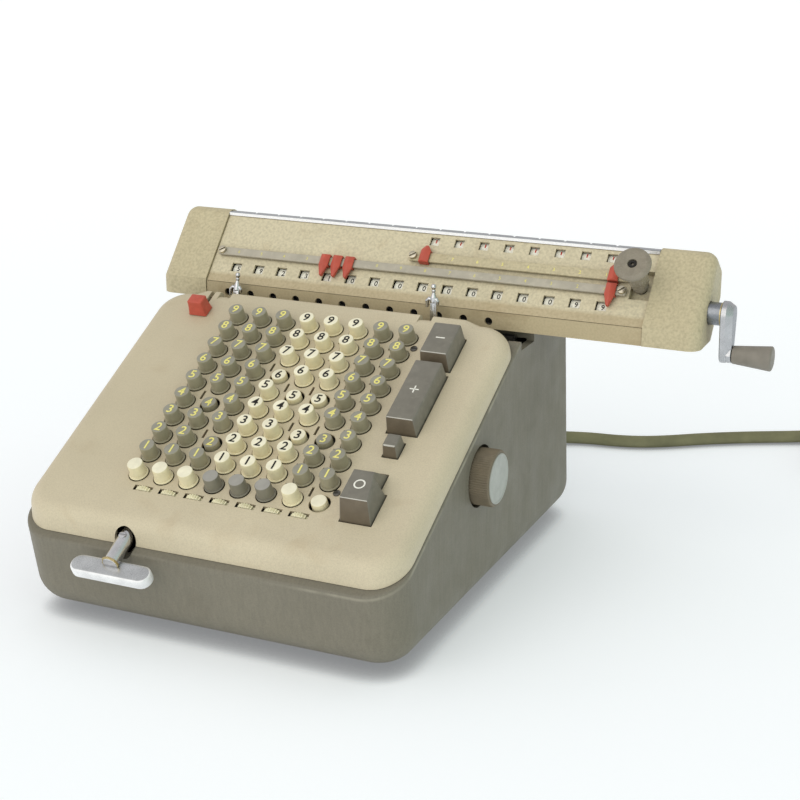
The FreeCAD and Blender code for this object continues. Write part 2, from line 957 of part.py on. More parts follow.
def above_rim():
    # Everything over the joint plane, back to the deck's front edge.
    far_front = 2 * handle_exit_y
    back = cover_bottom_back.y + joint_gap
    high = 2 * deck_height
    corners = [
        (far_front, rim_height(far_front), 0),
        (back, rim_height(back), 0),
        (back, trough_floor, 0),
        (trough_back_y, trough_floor, 0),
        (trough_back_y, high, 0),
        (far_front, high, 0),
    ]
    return prism(corners, -2 * body_half_width, 2 * body_half_width)


def rim_ledge():
    # A shelf along the joint plane, under the cover's edge.
    far_front = 2 * handle_exit_y
    back = cover_bottom_back.y
    corners = [
        (far_front, rim_height(far_front) - rim_ledge_height, 0),
        (back, rim_height(back) - rim_ledge_height, 0),
        (back, 2 * deck_height, 0),
        (far_front, 2 * deck_height, 0),
    ]
    band = prism(corners, -2 * body_half_width, 2 * body_half_width)
    inset_x = base_wall + rim_ledge_width
    radius = base_front_radius - inset_x
    room = Part.Face(plan_wire(body_half_width - inset_x, handle_exit_y - front_lip + inset_x,
                               2 * deck_back_y, radius, radius, 0))
    return band.cut(room.extrude(Vector(0, 0, 2 * deck_height)))


def base_housing():
    lowest = foot_height + base_wall
    inner_top = deck_height + deck_thickness
    outer = tub(0, foot_height, deck_height)
    inner = tub(base_wall, lowest, inner_top)
    deck = block(-body_half_width, body_half_width, trough_back_y, 2 * deck_back_y,
                 deck_height - deck_thickness, inner_top + overcut)
    shell = outer.cut(above_rim()).cut(inner.cut(deck).cut(rim_ledge()))
    rims = []
    for edge in shell.Edges:
        box = edge.BoundBox
        on_side = box.XLength < 1e-6 and abs(abs(box.XMin) - body_half_width) < 1e-6
        middle = edge.valueAt((edge.FirstParameter + edge.LastParameter) / 2)
        if on_side and abs(middle.z - rim_height(middle.y)) < 1e-3:
            rims.append(edge)
    shell = shell.makeFillet(rim_edge_radius, rims)
    opening_x = bottom_plate_half_width - bottom_opening_margin
    opening = block(-opening_x, opening_x, bottom_plate_front_y + bottom_opening_margin,
                    bottom_plate_back_y - bottom_opening_margin, foot_height - overcut, lowest + overcut)
    knob_hole = x_rod(body_half_width - 3 * base_wall, body_half_width + base_wall, knob_y, knob_height,
                      knob_radius + knob_hole_gap)
    gland_hole = rod(Vector(gland_x, gland_back_y - gland_flange_inset, gland_height),
                     Vector(gland_x, gland_tip_y, gland_height), gland_radius + bearing_gap)
    cuts = [opening, knob_hole, handle_hole(), gland_hole]
    for x, y in foot_places() + plate_screw_places():
        cuts.append(rod(Vector(x, y, foot_height - overcut), Vector(x, y, lowest + overcut),
                        screw_radius + screw_hole_gap))
    write("base_housing", shell.cut(cuts))


def foot_places():
    return [(x, y) for x in (-foot_x, foot_x) for y in (foot_front_y, foot_back_y)]


def plate_screw_places():
    x = bottom_plate_half_width - bottom_opening_margin / 2
    span = bottom_plate_back_y - bottom_plate_front_y
    places = []
    for i in range(plate_screw_rows):
        y = bottom_plate_front_y + span * (i + 1) / (plate_screw_rows + 1)
        places.append((-x, y))
        places.append((x, y))
    return places


def bottom_plate():
    low = foot_height + base_wall
    plate = block(-bottom_plate_half_width, bottom_plate_half_width, bottom_plate_front_y,
                  bottom_plate_back_y, low, low + bottom_plate_thickness)
    cuts = []
    for x, y in foot_places() + plate_screw_places():
        cuts.append(rod(Vector(x, y, low - overcut), Vector(x, y, low + bottom_plate_thickness + overcut),
                        screw_radius + screw_hole_gap))
    write("bottom_plate", plate.cut(cuts))


def rubber_feet():
    feet = []
    for x, y in foot_places():
        foot = cone(Vector(x, y, 0), Vector(x, y, foot_height), foot_radius - foot_taper, foot_radius)
        well = rod(Vector(x, y, -overcut), Vector(x, y, foot_screw_seat), screw_head_radius + joint_gap)
        hole = rod(Vector(x, y, 0), Vector(x, y, foot_height + overcut), screw_radius + screw_hole_gap)
        feet.append(foot.cut(well).cut(hole))
    write("rubber_feet", *feet)


def screw(x, y, seat, tip):
    head = rod(Vector(x, y, seat - screw_head_height), Vector(x, y, seat), screw_head_radius)
    shank = rod(Vector(x, y, seat), Vector(x, y, tip), screw_radius)
    return head.fuse(shank).removeSplitter()


def housing_screws():
    tip = foot_height + base_wall + bottom_plate_thickness
    solids = [screw(x, y, foot_screw_seat, tip) for x, y in foot_places()]
    solids += [screw(x, y, foot_height, tip) for x, y in plate_screw_places()]
    for x, v in cover_screws:
        head = rod(Vector(x, v, 0), Vector(x, v, cover_screw_head_height), cover_screw_head_radius)
        shank = rod(Vector(x, v, -cover_screw_length), Vector(x, v, 0), cover_screw_radius)
        solids.append(on_plate(head.fuse(shank).removeSplitter()))
    write("housing_screws", *solids)


# Inner frame: two side plates and their tie rods

def inner_frame():
    low = foot_height + base_wall + bottom_plate_thickness
    outer_x = frame_inner_x + frame_thickness
    # The sloping top edge runs just under the key guide plate and ends at the level shoulder.
    slope_height = plate_height - (guide_depth + guide_thickness) / tilt_cosine
    front_top = slope_height + (frame_front_y - plate_y) * tilt_tangent
    slope_end_y = plate_y + (frame_shoulder_height - slope_height) / tilt_tangent
    corners = [
        (frame_front_y, low, 0),
        (frame_back_y, low, 0),
        (frame_back_y, frame_shoulder_height, 0),
        (slope_end_y, frame_shoulder_height, 0),
        (frame_front_y, front_top, 0),
    ]
    hole_x = outer_x + overcut
    holes = [x_rod(-hole_x, hole_x, rotor_y, rotor_height, rotor_shaft_radius + bearing_gap),
             x_rod(0, hole_x, knob_y, knob_height, knob_shaft_radius + bearing_gap)]
    for y, height in tie_rods:
        holes.append(x_rod(-hole_x, hole_x, y, height, tie_rod_radius + bearing_gap))
    left = prism(corners, -outer_x, -frame_inner_x).cut(holes)
    right = prism(corners, frame_inner_x, outer_x).cut(holes)
    rods = [x_rod(-outer_x, outer_x, y, height, tie_rod_radius) for y, height in tie_rods]
    write("inner_frame", left, right, *rods)


# The carriage's slide on the frame, and pads on the deck

def carriage_guides():
    back = slide_front_y + slide_width
    slide = block(-slide_half_length, slide_half_length, slide_front_y, back, slide_bottom, slide_top)
    for x in (-frame_inner_x, frame_inner_x):
        pedestal = block(x - pedestal_half_length, x + pedestal_half_length, slide_front_y, back,
                         frame_shoulder_height, slide_bottom)
        slide = slide.fuse(pedestal)
    pads = []
    pad_top = carriage_bottom + frame_plate_gap - slide_gap
    for x in (-pad_x, pad_x):
        pads.append(block(x - pad_half_length, x + pad_half_length, pad_front_y, pad_front_y + pad_depth,
                          deck_height, pad_top))
    write("carriage_guides", slide.removeSplitter(), *pads)


# Drive

def drive_rotor():
    shaft = x_rod(-frame_inner_x - frame_thickness, motor_left_x + motor_bore_depth - joint_gap,
                  rotor_y, rotor_height, rotor_shaft_radius)
    drum = x_rod(0, drum_width, 0, 0, drum_radius)
    for tooth in range(drum_tooth_count):
        length = drum_width * (tooth + 1) / drum_tooth_count
        bar = block(0, length, -drum_tooth / 2, drum_tooth / 2, drum_radius - drum_tooth,
                    drum_radius + drum_tooth)
        bar.rotate(Vector(0, 0, 0), Vector(1, 0, 0), tooth * 180 / drum_tooth_count)
        drum = drum.fuse(bar)
    rotor = shaft
    for column in range(columns):
        rotor = rotor.fuse(moved(drum, first_drum_x + column * drum_pitch, rotor_y, rotor_height))
    write("drive_rotor", rotor.removeSplitter())


def motor():
    low = foot_height + base_wall + bottom_plate_thickness
    body = x_rod(motor_left_x + motor_bell_length, motor_right_x, rotor_y, rotor_height, motor_radius)
    bell = x_rod(motor_left_x, motor_left_x + motor_bell_length, rotor_y, rotor_height, motor_bell_radius)
    foot = block(motor_left_x + 2 * motor_bell_length, motor_right_x - motor_bell_length,
                 rotor_y - motor_foot_half_width, rotor_y + motor_foot_half_width, low, rotor_height)
    bore = x_rod(motor_left_x - overcut, motor_left_x + motor_bore_depth, rotor_y, rotor_height,
                 rotor_shaft_radius + bearing_gap)
    write("motor", body.fuse(bell).fuse(foot).cut(bore).removeSplitter())


# Side knob

def side_knob():
    start = body_half_width - knob_inset
    end = body_half_width + knob_reach
    rim = x_rod(start, end, knob_y, knob_height, knob_radius)
    face = x_rod(end, end + knob_face_step, knob_y, knob_height, knob_face_radius)
    shaft = x_rod(frame_inner_x - frame_thickness, start, knob_y, knob_height, knob_shaft_radius)
    write("side_knob", rim.fuse(face).fuse(shaft).removeSplitter())


# Shift handle

def handle():
    shaft = rod(handle_point(-handle_inner_length), handle_point(handle_outer_length), handle_shaft_radius)
    write("handle_shaft", shaft)
    half = handle_bar_length / 2 - handle_bar_width / 2
    low = -handle_bar_thickness / 2
    high = handle_bar_thickness / 2
    bar = block(-half, half, -handle_bar_width / 2, handle_bar_width / 2, low, high)
    for x in (-half, half):
        bar = bar.fuse(rod(Vector(x, 0, low), Vector(x, 0, high), handle_bar_width / 2))
    bar = bar.removeSplitter()
    flat = [edge for edge in bar.Edges if edge.BoundBox.ZLength < 1e-6]
    bar = bar.makeFillet(handle_bar_edge, flat)
    bar.rotate(Vector(0, 0, 0), Vector(1, 0, 0), plate_tilt)
    # The shaft lies in the bar's top face, so the bar hangs below the shaft's axis.
    drop = Vector(0, tilt_sine, -tilt_cosine) * handle_bar_drop
    bar.translate(handle_point(handle_bar_distance) + drop)
    write("handle_bar", bar.cut(shaft))


# Red slider

def red_slider():
    def outline(width, depth, height):
        return Part.makePolygon([
            Vector(slider_x - width / 2, slider_row - depth / 2, height),
            Vector(slider_x + width / 2, slider_row - depth / 2, height),
            Vector(slider_x + width / 2, slider_row + depth / 2, height),
            Vector(slider_x - width / 2, slider_row + depth / 2, height),
            Vector(slider_x - width / 2, slider_row - depth / 2, height),
        ])

    cap = Part.makeLoft([outline(slider_base_width, slider_base_depth, slide_gap),
                         outline(slider_top_width, slider_top_depth, slider_height)], True, True)
    half_stem = slider_stem_width / 2
    stem = block(slider_x - half_stem, slider_x + half_stem, slider_row - slider_stem_length / 2,
                 slider_row + slider_stem_length / 2, -slider_foot_depth, slide_gap)
    foot = block(slider_x - slider_foot_width / 2, slider_x + slider_foot_width / 2,
                 slider_row - slider_stem_length / 2, slider_row + slider_stem_length / 2,
                 -slider_foot_depth - slider_foot_thickness, -slider_foot_depth)
    write("red_slider", on_plate(cap.fuse(stem).fuse(foot).removeSplitter()))


# Levers

def lever(node, x, length, lean):
    pin = rod(Vector(-lever_pin_half_length, 0, 0), Vector(lever_pin_half_length, 0, 0), lever_pin_radius)
    blade = block(-lever_blade_width / 2, lever_blade_width / 2, -lever_blade_thickness / 2,
                  lever_blade_thickness / 2, -lever_pin_radius, length - lever_blade_drop)
    stalk = rod(Vector(0, 0, 0), Vector(0, 0, length - lever_tip_radius), lever_stalk_radius)
    tip = Part.makeSphere(lever_tip_radius, Vector(0, 0, length - lever_tip_radius))
    wing_height = length - lever_wing_drop
    wings = rod(Vector(-lever_wing_half_length, 0, wing_height),
                Vector(lever_wing_half_length, 0, wing_height), lever_wing_radius)
    shape = pin.fuse([blade, stalk, tip, wings]).removeSplitter()
    shape.rotate(Vector(0, 0, 0), Vector(1, 0, 0), -lean)
    write(node, moved(shape, x, lever_pivot.y, lever_pivot.z))


# Carriage shells

def face_line_y(height, proud):
    # Where the sloping face, moved outwards, crosses a height.
    sine = math.sin(math.radians(face_tilt))
    cosine = math.cos(math.radians(face_tilt))
    start_y = face_y - proud * sine
    start_height = face_height + proud * cosine
    return start_y + (height - start_height) * cosine / sine


def face_line_height(y, proud):
    sine = math.sin(math.radians(face_tilt))
    cosine = math.cos(math.radians(face_tilt))
    start_y = face_y - proud * sine
    start_height = face_height + proud * cosine
    return start_height + (y - start_y) * sine / cosine


def cap_corners():
    front = apron_y - cap_proud / 2
    return [
        (front, carriage_bottom, 0),
        (cap_step_y, carriage_bottom, 0),
        (cap_back_y, cap_step_height, 0),
        (cap_back_y, cap_shoulder_height, cap_corner_radius),
        (face_line_y(cap_top, cap_proud), cap_top, cap_corner_radius),
        (front, face_line_height(front, cap_proud), 0),
    ]


def end_cap(outer_x, inner_x):
    corners = cap_corners()
    left = min(outer_x, inner_x)
    right = max(outer_x, inner_x)
    solid = prism(corners, left, right)
    rims = []
    for edge in solid.Edges:
        box = edge.BoundBox
        if box.XLength < 1e-6 and abs(box.XMin - outer_x) < 1e-6 and box.ZMax > carriage_bottom + 1e-3:
            rims.append(edge)
    solid = solid.makeFillet(cap_edge_radius, rims)
    inner_wall = outer_x + cap_wall if outer_x < inner_x else outer_x - cap_wall
    inner_open = inner_x + overcut if outer_x < inner_x else inner_x - overcut
    hollow = prism(inset(corners, cap_wall), min(inner_wall, inner_open), max(inner_wall, inner_open))
    reach = cap_edge_radius - cap_wall
    end = [edge for edge in hollow.Edges
           if edge.BoundBox.XLength < 1e-6 and abs(edge.BoundBox.XMin - inner_wall) < 1e-6
           and edge.BoundBox.ZMax > carriage_bottom + cap_wall + 1e-3]
    return solid.cut(hollow.makeFillet(reach, end))


def end_caps():
    write("left_end_cap", end_cap(face_left_x - left_cap_width, face_left_x))
    right_outer = face_right_x + right_cap_width
    hole = x_rod(face_right_x, right_outer + overcut, crank_y, crank_height, crank_boss_radius + joint_gap)
    write("right_end_cap", end_cap(right_outer, face_right_x).cut(hole))


def sheet_corners():
    return [
        (face_line_y(apron_top + joint_gap, 0), apron_top + joint_gap, 0),
        (sheet_back_y, sheet_back_bottom, 0),
        (sheet_back_y, sheet_shoulder_height, sheet_back_radius),
        (sheet_ridge_y, sheet_top, sheet_top_radius),
        (face_line_y(sheet_top, 0), sheet_top, sheet_top_radius),
    ]


def carriage_face():
    left = face_left_x + joint_gap
    right = face_right_x - joint_gap
    corners = sheet_corners()
    inner = inset(corners, sheet_thickness)
    # The hollow runs on below the sheet, along its face and its back.
    fall = sheet_height * math.tan(math.radians(face_tilt))
    lower_front = (inner[0][0] - sheet_height, inner[0][1] - fall, 0)
    lower_back = (inner[1][0], inner[1][1] - sheet_height, 0)
    hollow = prism([lower_front, lower_back] + inner[2:], left - overcut, right + overcut)
    sheet = prism(corners, left, right).cut(hollow)
    pan_left = recess_left_x - sheet_thickness
    pan = block(pan_left, right, recess_front_row - sheet_thickness, recess_back_row + sheet_thickness,
                -recess_depth - sheet_thickness, 0)
    well = block(recess_left_x, right + overcut, recess_front_row, recess_back_row,
                 -recess_depth, sheet_thickness)
    stem_hole = rod(Vector(release_x, release_row, -3 * recess_depth), Vector(release_x, release_row, 0),
                    release_guide_radius + slide_gap)
    sheet = sheet.fuse(on_face(pan)).cut(on_face(well)).cut(on_face(stem_hole))
    cuts = []
    for dial in range(result_dials):
        cuts.append(on_face(window(first_result_x + dial * column_pitch, result_row, result_window_width,
                                   result_window_height)))
    for dial in range(counter_dials):
        cuts.append(on_face(window(first_counter_x + dial * column_pitch, counter_row, counter_window_width,
                                   counter_window_height)))
    write("carriage_face", sheet.cut(cuts).removeSplitter())


def window(x, row, width, height):
    return block(x - width / 2, x + width / 2, row - height / 2, row + height / 2,
                 -2 * sheet_thickness, 2 * sheet_thickness)


def carriage_apron():
    plate = block(face_left_x + joint_gap, face_right_x - joint_gap, apron_y, apron_y + apron_thickness,
                  carriage_bottom, apron_top)
    cuts = []
    for i in range(apron_holes):
        x = first_apron_hole_x + i * column_pitch
        cuts.append(rod(Vector(x, apron_y - overcut, apron_hole_height),
                        Vector(x, apron_y + apron_thickness + overcut, apron_hole_height),
                        apron_hole_radius))
    write("carriage_apron", plate.cut(cuts))


def top_bar():
    left = face_left_x + joint_gap
    right = face_right_x - joint_gap
    back = top_bar_front_y + top_bar_width
    bar = block(left, right, top_bar_front_y, back, sheet_top, sheet_top + top_bar_height)
    cuts = []
    for dial in range(result_dials):
        x = first_result_x + dial * column_pitch
        cuts.append(block(x - top_bar_notch, x + top_bar_notch, top_bar_front_y + top_bar_width / 2,
                          back + overcut, sheet_top + top_bar_height - top_bar_notch,
                          sheet_top + top_bar_height + overcut))
    write("top_bar", bar.cut(cuts))


# Carriage frame with its slide shoes and dial shafts

def dial_axis(row):
    depth = sheet_thickness + dial_gap + dial_radius
    sine = math.sin(math.radians(face_tilt))
    cosine = math.cos(math.radians(face_tilt))
    return face_y + row * cosine + depth * sine, face_height + row * sine - depth * cosine


def carriage_frame():
    low = carriage_bottom + frame_plate_gap
    left = face_left_x + joint_gap
    right = face_right_x - joint_gap
    front = apron_y + apron_thickness + joint_gap
    back = sheet_back_y - sheet_thickness - joint_gap
    floor_plate = block(left, right, front, back, low, low + frame_plate_thickness)
    solid = floor_plate
    inner = inset(sheet_corners(), sheet_thickness + joint_gap)
    end_corners = [
        (front, low, 0),
        (back, low, 0),
        (back, inner[2][1], inner[2][2]),
        (inner[3][0], inner[3][1], 0),
        (inner[4][0], inner[4][1], 0),
        (inner[0][0], inner[0][1], 0),
        (front, apron_top - apron_thickness, 0),
    ]
    for start in (left, right - end_plate_thickness):
        solid = solid.fuse(prism(end_corners, start, start + end_plate_thickness))
    well = on_face(block(recess_left_x - sheet_thickness - joint_gap, right + overcut,
                         recess_front_row - sheet_thickness - joint_gap,
                         recess_back_row + sheet_thickness + joint_gap,
                         -recess_depth - sheet_thickness - joint_gap, 2 * sheet_thickness))
    solid = solid.cut(well)
    shoe_front = slide_front_y - slide_gap - shoe_front_wall
    shoe_back = slide_front_y + slide_width + slide_gap + shoe_back_wall
    shoe_bottom = slide_top - shoe_reach
    shoe_top = slide_top + slide_gap + shoe_roof
    for x in (left_shoe_x, right_shoe_x):
        shoe_left = x - shoe_half_length
        shoe_right = x + shoe_half_length
        shoe = block(shoe_left, shoe_right, shoe_front, shoe_back, shoe_bottom, shoe_top)
        slot = block(shoe_left - overcut, shoe_right + overcut, slide_front_y - slide_gap,
                     slide_front_y + slide_width + slide_gap, shoe_bottom - overcut, slide_top + slide_gap)
        web = block(shoe_left, shoe_right, front, shoe_back, shoe_top, low)
        solid = solid.fuse(shoe.cut(slot)).fuse(web)
    for row in (result_row, counter_row):
        y, height = dial_axis(row)
        solid = solid.fuse(x_rod(left, right, y, height, dial_shaft_radius))
    crank_room = x_rod(right - end_plate_thickness - overcut, right + overcut, crank_y, crank_height,
                       crank_shaft_radius + bearing_gap)
    write("carriage_frame", solid.cut(crank_room).removeSplitter())


def dial_set(node, count, first_x, row):
    y, height = dial_axis(row)
    solids = []
    for i in range(count):
        x = first_x + i * column_pitch
        drum = x_rod(x - dial_width / 2, x + dial_width / 2, y, height, dial_radius)
        bore = x_rod(x - dial_width, x + dial_width, y, height, dial_shaft_radius + bearing_gap)
        solids.append(drum.cut(bore))
    write(node, *solids)


# Marker rails and markers

def marker_rail(node, left, right, row, width):
    top = rail_lift + rail_thickness
    rail = block(left, right, row - width / 2, row + width / 2, rail_lift, top)
    for x in (left + rail_screw_inset, right - rail_screw_inset):
        post = rod(Vector(x, row, 0), Vector(x, row, rail_lift), rail_post_radius)
        head = rod(Vector(x, row, top), Vector(x, row, top + rail_screw_height), rail_screw_radius)
        rail = rail.fuse([post, head])
    write(node, on_face(rail.removeSplitter()))


def marker(x, row, rail_width, pointer_length):
    # The pointer runs up the face, or down it when its length is negative.
    direction = math.copysign(1, pointer_length)
    inner_half = rail_width / 2 + slide_gap
    outer_half = inner_half + marker_wall
    top = rail_lift + rail_thickness + slide_gap
    low = slide_gap
    body = block(x - marker_width / 2, x + marker_width / 2, row - outer_half, row + outer_half,
                 low, top + marker_roof)
    tunnel = block(x - marker_width, x + marker_width, row - inner_half, row + inner_half,
                   rail_lift - slide_gap, top)
    root = row + direction * outer_half
    point = root + pointer_length
    corners = [
        Vector(x - marker_width / 2, root, rail_lift),
        Vector(x + marker_width / 2, root, rail_lift),
        Vector(x + marker_point_width / 2, point, rail_lift),
        Vector(x - marker_point_width / 2, point, rail_lift),
    ]
    outline = Part.Face(Part.makePolygon(corners + [corners[0]]))
    pointer = outline.extrude(Vector(0, 0, top + marker_roof / 2 - rail_lift))
    return on_face(body.cut(tunnel).fuse(pointer).removeSplitter())


def markers():
    row = lower_rail_row
    group = []
    for i in range(lower_markers):
        x = first_lower_marker_x + i * lower_marker_pitch
        group.append(marker(x, row, lower_rail_width, -lower_marker_pointer))
    write("lower_markers", *group)
    write("lower_right_marker", marker(lower_right_marker_x, row, lower_rail_width, -lower_marker_pointer))
    row = upper_rail_row
    write("upper_left_marker", marker(upper_left_marker_x, row, upper_rail_width, upper_marker_pointer))
    write("upper_right_marker", marker(upper_right_marker_x, row, upper_rail_width, upper_marker_pointer))


# Release knob

def release_knob():
    def at(depth):
        return Vector(release_x, release_row, depth)

    shoulder = -recess_depth + release_travel + slide_gap
    neck_top = release_travel + 2 * slide_gap
    head_low = release_head_top - release_head_height
    head = rod(at(head_low), at(release_head_top), release_head_radius)
    rims = [edge for edge in head.Edges if edge.BoundBox.ZLength < 1e-6]
    head = head.makeFillet(release_head_edge, rims)
    stem = rod(at(neck_top), at(head_low), release_stem_radius)
    neck = rod(at(shoulder), at(neck_top), release_neck_radius)
    tail = rod(at(-release_guide_length), at(shoulder), release_guide_radius)
    write("release_knob", on_face(head.fuse([stem, neck, tail]).removeSplitter()))


# Clearing crank

def crank():
    wall = face_right_x + right_cap_width
    boss_end = wall + crank_boss_length
    arm_end = boss_end + crank_arm_thickness
    boss = x_rod(wall - crank_boss_inset, boss_end, crank_y, crank_height, crank_boss_radius)
    shaft = x_rod(wall - crank_shaft_length, wall, crank_y, crank_height, crank_shaft_radius)
    low = crank_height - crank_throw
    hub = x_rod(boss_end, arm_end, crank_y, crank_height, crank_hub_radius)
    end = x_rod(boss_end, arm_end, crank_y, low, crank_end_radius)
    corners = [
        Vector(boss_end, crank_y - crank_hub_radius, crank_height),
        Vector(boss_end, crank_y + crank_hub_radius, crank_height),
        Vector(boss_end, crank_y + crank_end_radius, low),
        Vector(boss_end, crank_y - crank_end_radius, low),
    ]
    web = Part.Face(Part.makePolygon(corners + [corners[0]])).extrude(Vector(crank_arm_thickness, 0, 0))
    pin_end = arm_end + grip_gap + grip_length - grip_end_wall
    pin = x_rod(arm_end, pin_end, crank_y, low, crank_pin_radius)
    arm = boss.fuse([shaft, hub, end, web, pin]).removeSplitter()
    write("crank_arm", arm)
    start = arm_end + grip_gap
    grip = cone(Vector(start, crank_y, low), Vector(start + grip_length, crank_y, low),
                grip_inner_radius, grip_outer_radius)
    bore = x_rod(start - overcut, pin_end + grip_gap, crank_y, low, crank_pin_radius + bearing_gap)
    write("crank_grip", grip.cut(bore))


# Mains lead

def tangent_arc(start, tangent, end):
    chord = end - start
    along = unit(chord)
    angle = tangent.getAngle(along)
    side = unit(tangent - along * tangent.dot(along))
    middle = (start + end) / 2 + side * (chord.Length / 2 * math.tan(angle / 2))
    return Part.Arc(start, middle, end).toShape()


def biarc(start, start_tangent, end, end_tangent):
    chord = end - start
    total = start_tangent + end_tangent
    scale = 2 * (1 - start_tangent.dot(end_tangent))
    along = chord.dot(total)
    reach = (-along + math.sqrt(along * along + scale * chord.dot(chord))) / scale
    first = start + start_tangent * reach
    second = end - end_tangent * reach
    joint = (first + second) / 2
    return [tangent_arc(start, start_tangent, joint), tangent_arc(joint, unit(second - first), end)]


def tube(edges, start, tangent):
    circle = Part.Wire(Part.makeCircle(cord_radius, start, tangent))
    solid = Part.Wire(edges).makePipeShell([circle], True, False)
    length = sum(edge.Length for edge in edges)
    print("tube length %.1f, volume over section times length %.4f"
          % (length, solid.Volume / (math.pi * cord_radius ** 2 * length)))
    return solid


def cord_gland():
    def at(y):
        return Vector(gland_x, y, gland_height)

    flange_y = gland_back_y - gland_flange_inset
    flange = rod(at(flange_y), at(flange_y + gland_flange_thickness), gland_flange_radius)
    sleeve = rod(at(gland_back_y - gland_inner_length), at(gland_back_y), gland_radius)
    tip = cone(at(gland_back_y), at(gland_tip_y), gland_radius, gland_tip_radius)
    write("cord_gland", flange.fuse(sleeve).fuse(tip).removeSplitter())


def power_cord():
    points = [Vector(*point) for point in cord_route]
    edges = []
    last = points[0]
    radii = []
    for before, here, after in zip(points, points[1:], points[2:]):
        incoming = here - before
        outgoing = after - here
        reach = cord_bend_share * min(incoming.Length, outgoing.Length)
        turn = incoming.getAngle(outgoing)
        radii.append(reach / math.tan(turn / 2))
        arc_start = here - unit(incoming) * reach
        arc_end = here + unit(outgoing) * reach
        edges.append(Part.makeLine(last, arc_start))
        edges.append(tangent_arc(arc_start, unit(incoming), arc_end))
        last = arc_end
    edges.append(Part.makeLine(last, points[-1]))
    print("cord bend radii", ["%.0f" % radius for radius in radii])
    write("power_cord", tube(edges, points[0], points[1] - points[0]))


def coil_radii():
    radii = [coil_outer_radius - k * coil_step / 2 for k in range(coil_half_turns_in)]
    radii.append(radii[-1] - coil_step / 2 - coil_inner_draw)
    radii.append(radii[-1] - coil_climb_draw)
    radii.append(radii[-1] + coil_climb_step)
    for k in range(coil_half_turns_out):
        radii.append(radii[-1] + coil_step / 2)
    return radii


def coil_frame():
    end = Vector(*cord_route[-1])
    before = Vector(*cord_route[-2])
    along = end - before
    heading = unit(Vector(along.x, along.y, 0))
    right = Vector(heading.y, -heading.x, 0)
    start = end + heading * 2 * cord_radius
    centre = start + right * coil_outer_radius
    return end, start, heading, right, centre


def coil_height(half_turn):
    return coil_layer_height if half_turn > coil_half_turns_in else 0.0


def coil_path():
    end, start, heading, right, centre = coil_frame()
    edges = [Part.makeLine(end, start)]
    place = start
    tangent = heading
    radii = coil_radii()
    for k in range(1, len(radii)):
        side = 1 if k % 2 else -1
        target = centre + right * side * radii[k] + Vector(0, 0, coil_height(k))
        edges += biarc(place, tangent, target, tangent * -1)
        place = target
        tangent = tangent * -1
    finish = place + tangent * coil_tail
    edges.append(Part.makeLine(place, finish))
    return edges, finish, tangent


def print_least_gap(edges):
    # Sampled at every half cord radius along the path, leaving out places close by along the lead.
    samples = []
    travelled = 0.0
    for edge in edges:
        count = max(2, int(2 * edge.Length / cord_radius))
        first = edge.FirstParameter
        last = edge.LastParameter
        for i in range(count):
            share = i / count
            samples.append((travelled + edge.Length * share, edge.valueAt(first + (last - first) * share)))
        travelled += edge.Length
    least = travelled
    for i, (here, point) in enumerate(samples):
        for there, other in samples[i + 1:]:
            if there - here > coil_outer_radius:
                least = min(least, point.distanceToPoint(other))
    print("least gap between the coil's turns %.2f" % (least - 2 * cord_radius))


def cord_coil():
    edges, finish, tangent = coil_path()
    print_least_gap(edges)
    end, start, heading, right, centre = coil_frame()
    write("cord_coil", tube(edges, end, heading))


def coil_tie():
    # A band round the turns opposite the side where the lead comes in.
    end, start, heading, right, centre = coil_frame()
    radii = coil_radii()
    middles = [(radii[k] + radii[k + 1]) / 2 for k in range(1, len(radii) - 1, 2)]
    inner = min(middles) - cord_radius - tie_side_gap
    outer = max(middles) + cord_radius + tie_side_gap
    low = centre.z - cord_radius - tie_gap / 2
    high = centre.z + coil_layer_height + cord_radius + tie_gap
    band = block(inner - tie_thickness, outer + tie_thickness, -tie_width / 2, tie_width / 2,
                 low - tie_thickness, high + tie_thickness)
    room = block(inner, outer, -tie_width, tie_width, low, high)
    ring = band.cut(room)
    ring.rotate(Vector(0, 0, 0), Vector(0, 0, 1), math.degrees(math.atan2(-heading.y, -heading.x)))
    ring.translate(Vector(centre.x, centre.y, 0))
    write("coil_tie", ring)


def power_plug():
    edges, finish, tangent = coil_path()
    neck_end = finish + tangent * plug_neck_length
    body_end = neck_end + tangent * plug_body_length
    neck = cone(finish, neck_end, plug_neck_radius, plug_radius)
    body = rod(neck_end, body_end, plug_radius).fuse(neck).removeSplitter()
    across = Vector(tangent.y, -tangent.x, 0)
    pins = []
    for side in (-1, 1):
        root = body_end + across * side * plug_pin_spacing / 2
        pins.append(rod(root, root + tangent * plug_pin_length, plug_pin_radius))
    write("power_plug", body, *pins)


top_cover()
key_rows()
function_keys()
decimal_wheels()
key_guide_plate()
base_housing()
bottom_plate()
rubber_feet()
housing_screws()
inner_frame()
carriage_guides()
drive_rotor()
motor()
side_knob()
handle()
red_slider()
lever("left_lever", lever_left_x, lever_left_length, lever_left_lean)
lever("right_lever", lever_right_x, lever_right_length, 0)
end_caps()
carriage_face()
carriage_apron()
top_bar()
carriage_frame()
dial_set("result_dials", result_dials, first_result_x, result_row)
dial_set("counter_dials", counter_dials, first_counter_x, counter_row)
marker_rail("lower_rail", lower_rail_left_x, lower_rail_right_x, lower_rail_row, lower_rail_width)
marker_rail("upper_rail", upper_rail_left_x, upper_rail_right_x, upper_rail_row, upper_rail_width)
markers()
release_knob()
crank()
cord_gland()
power_cord()
cord_coil()
coil_tie()
power_plug()
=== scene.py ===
from math import atan2, cos, pi, radians, sin, tan

import bmesh
import bpy
from mathutils import Matrix, Vector


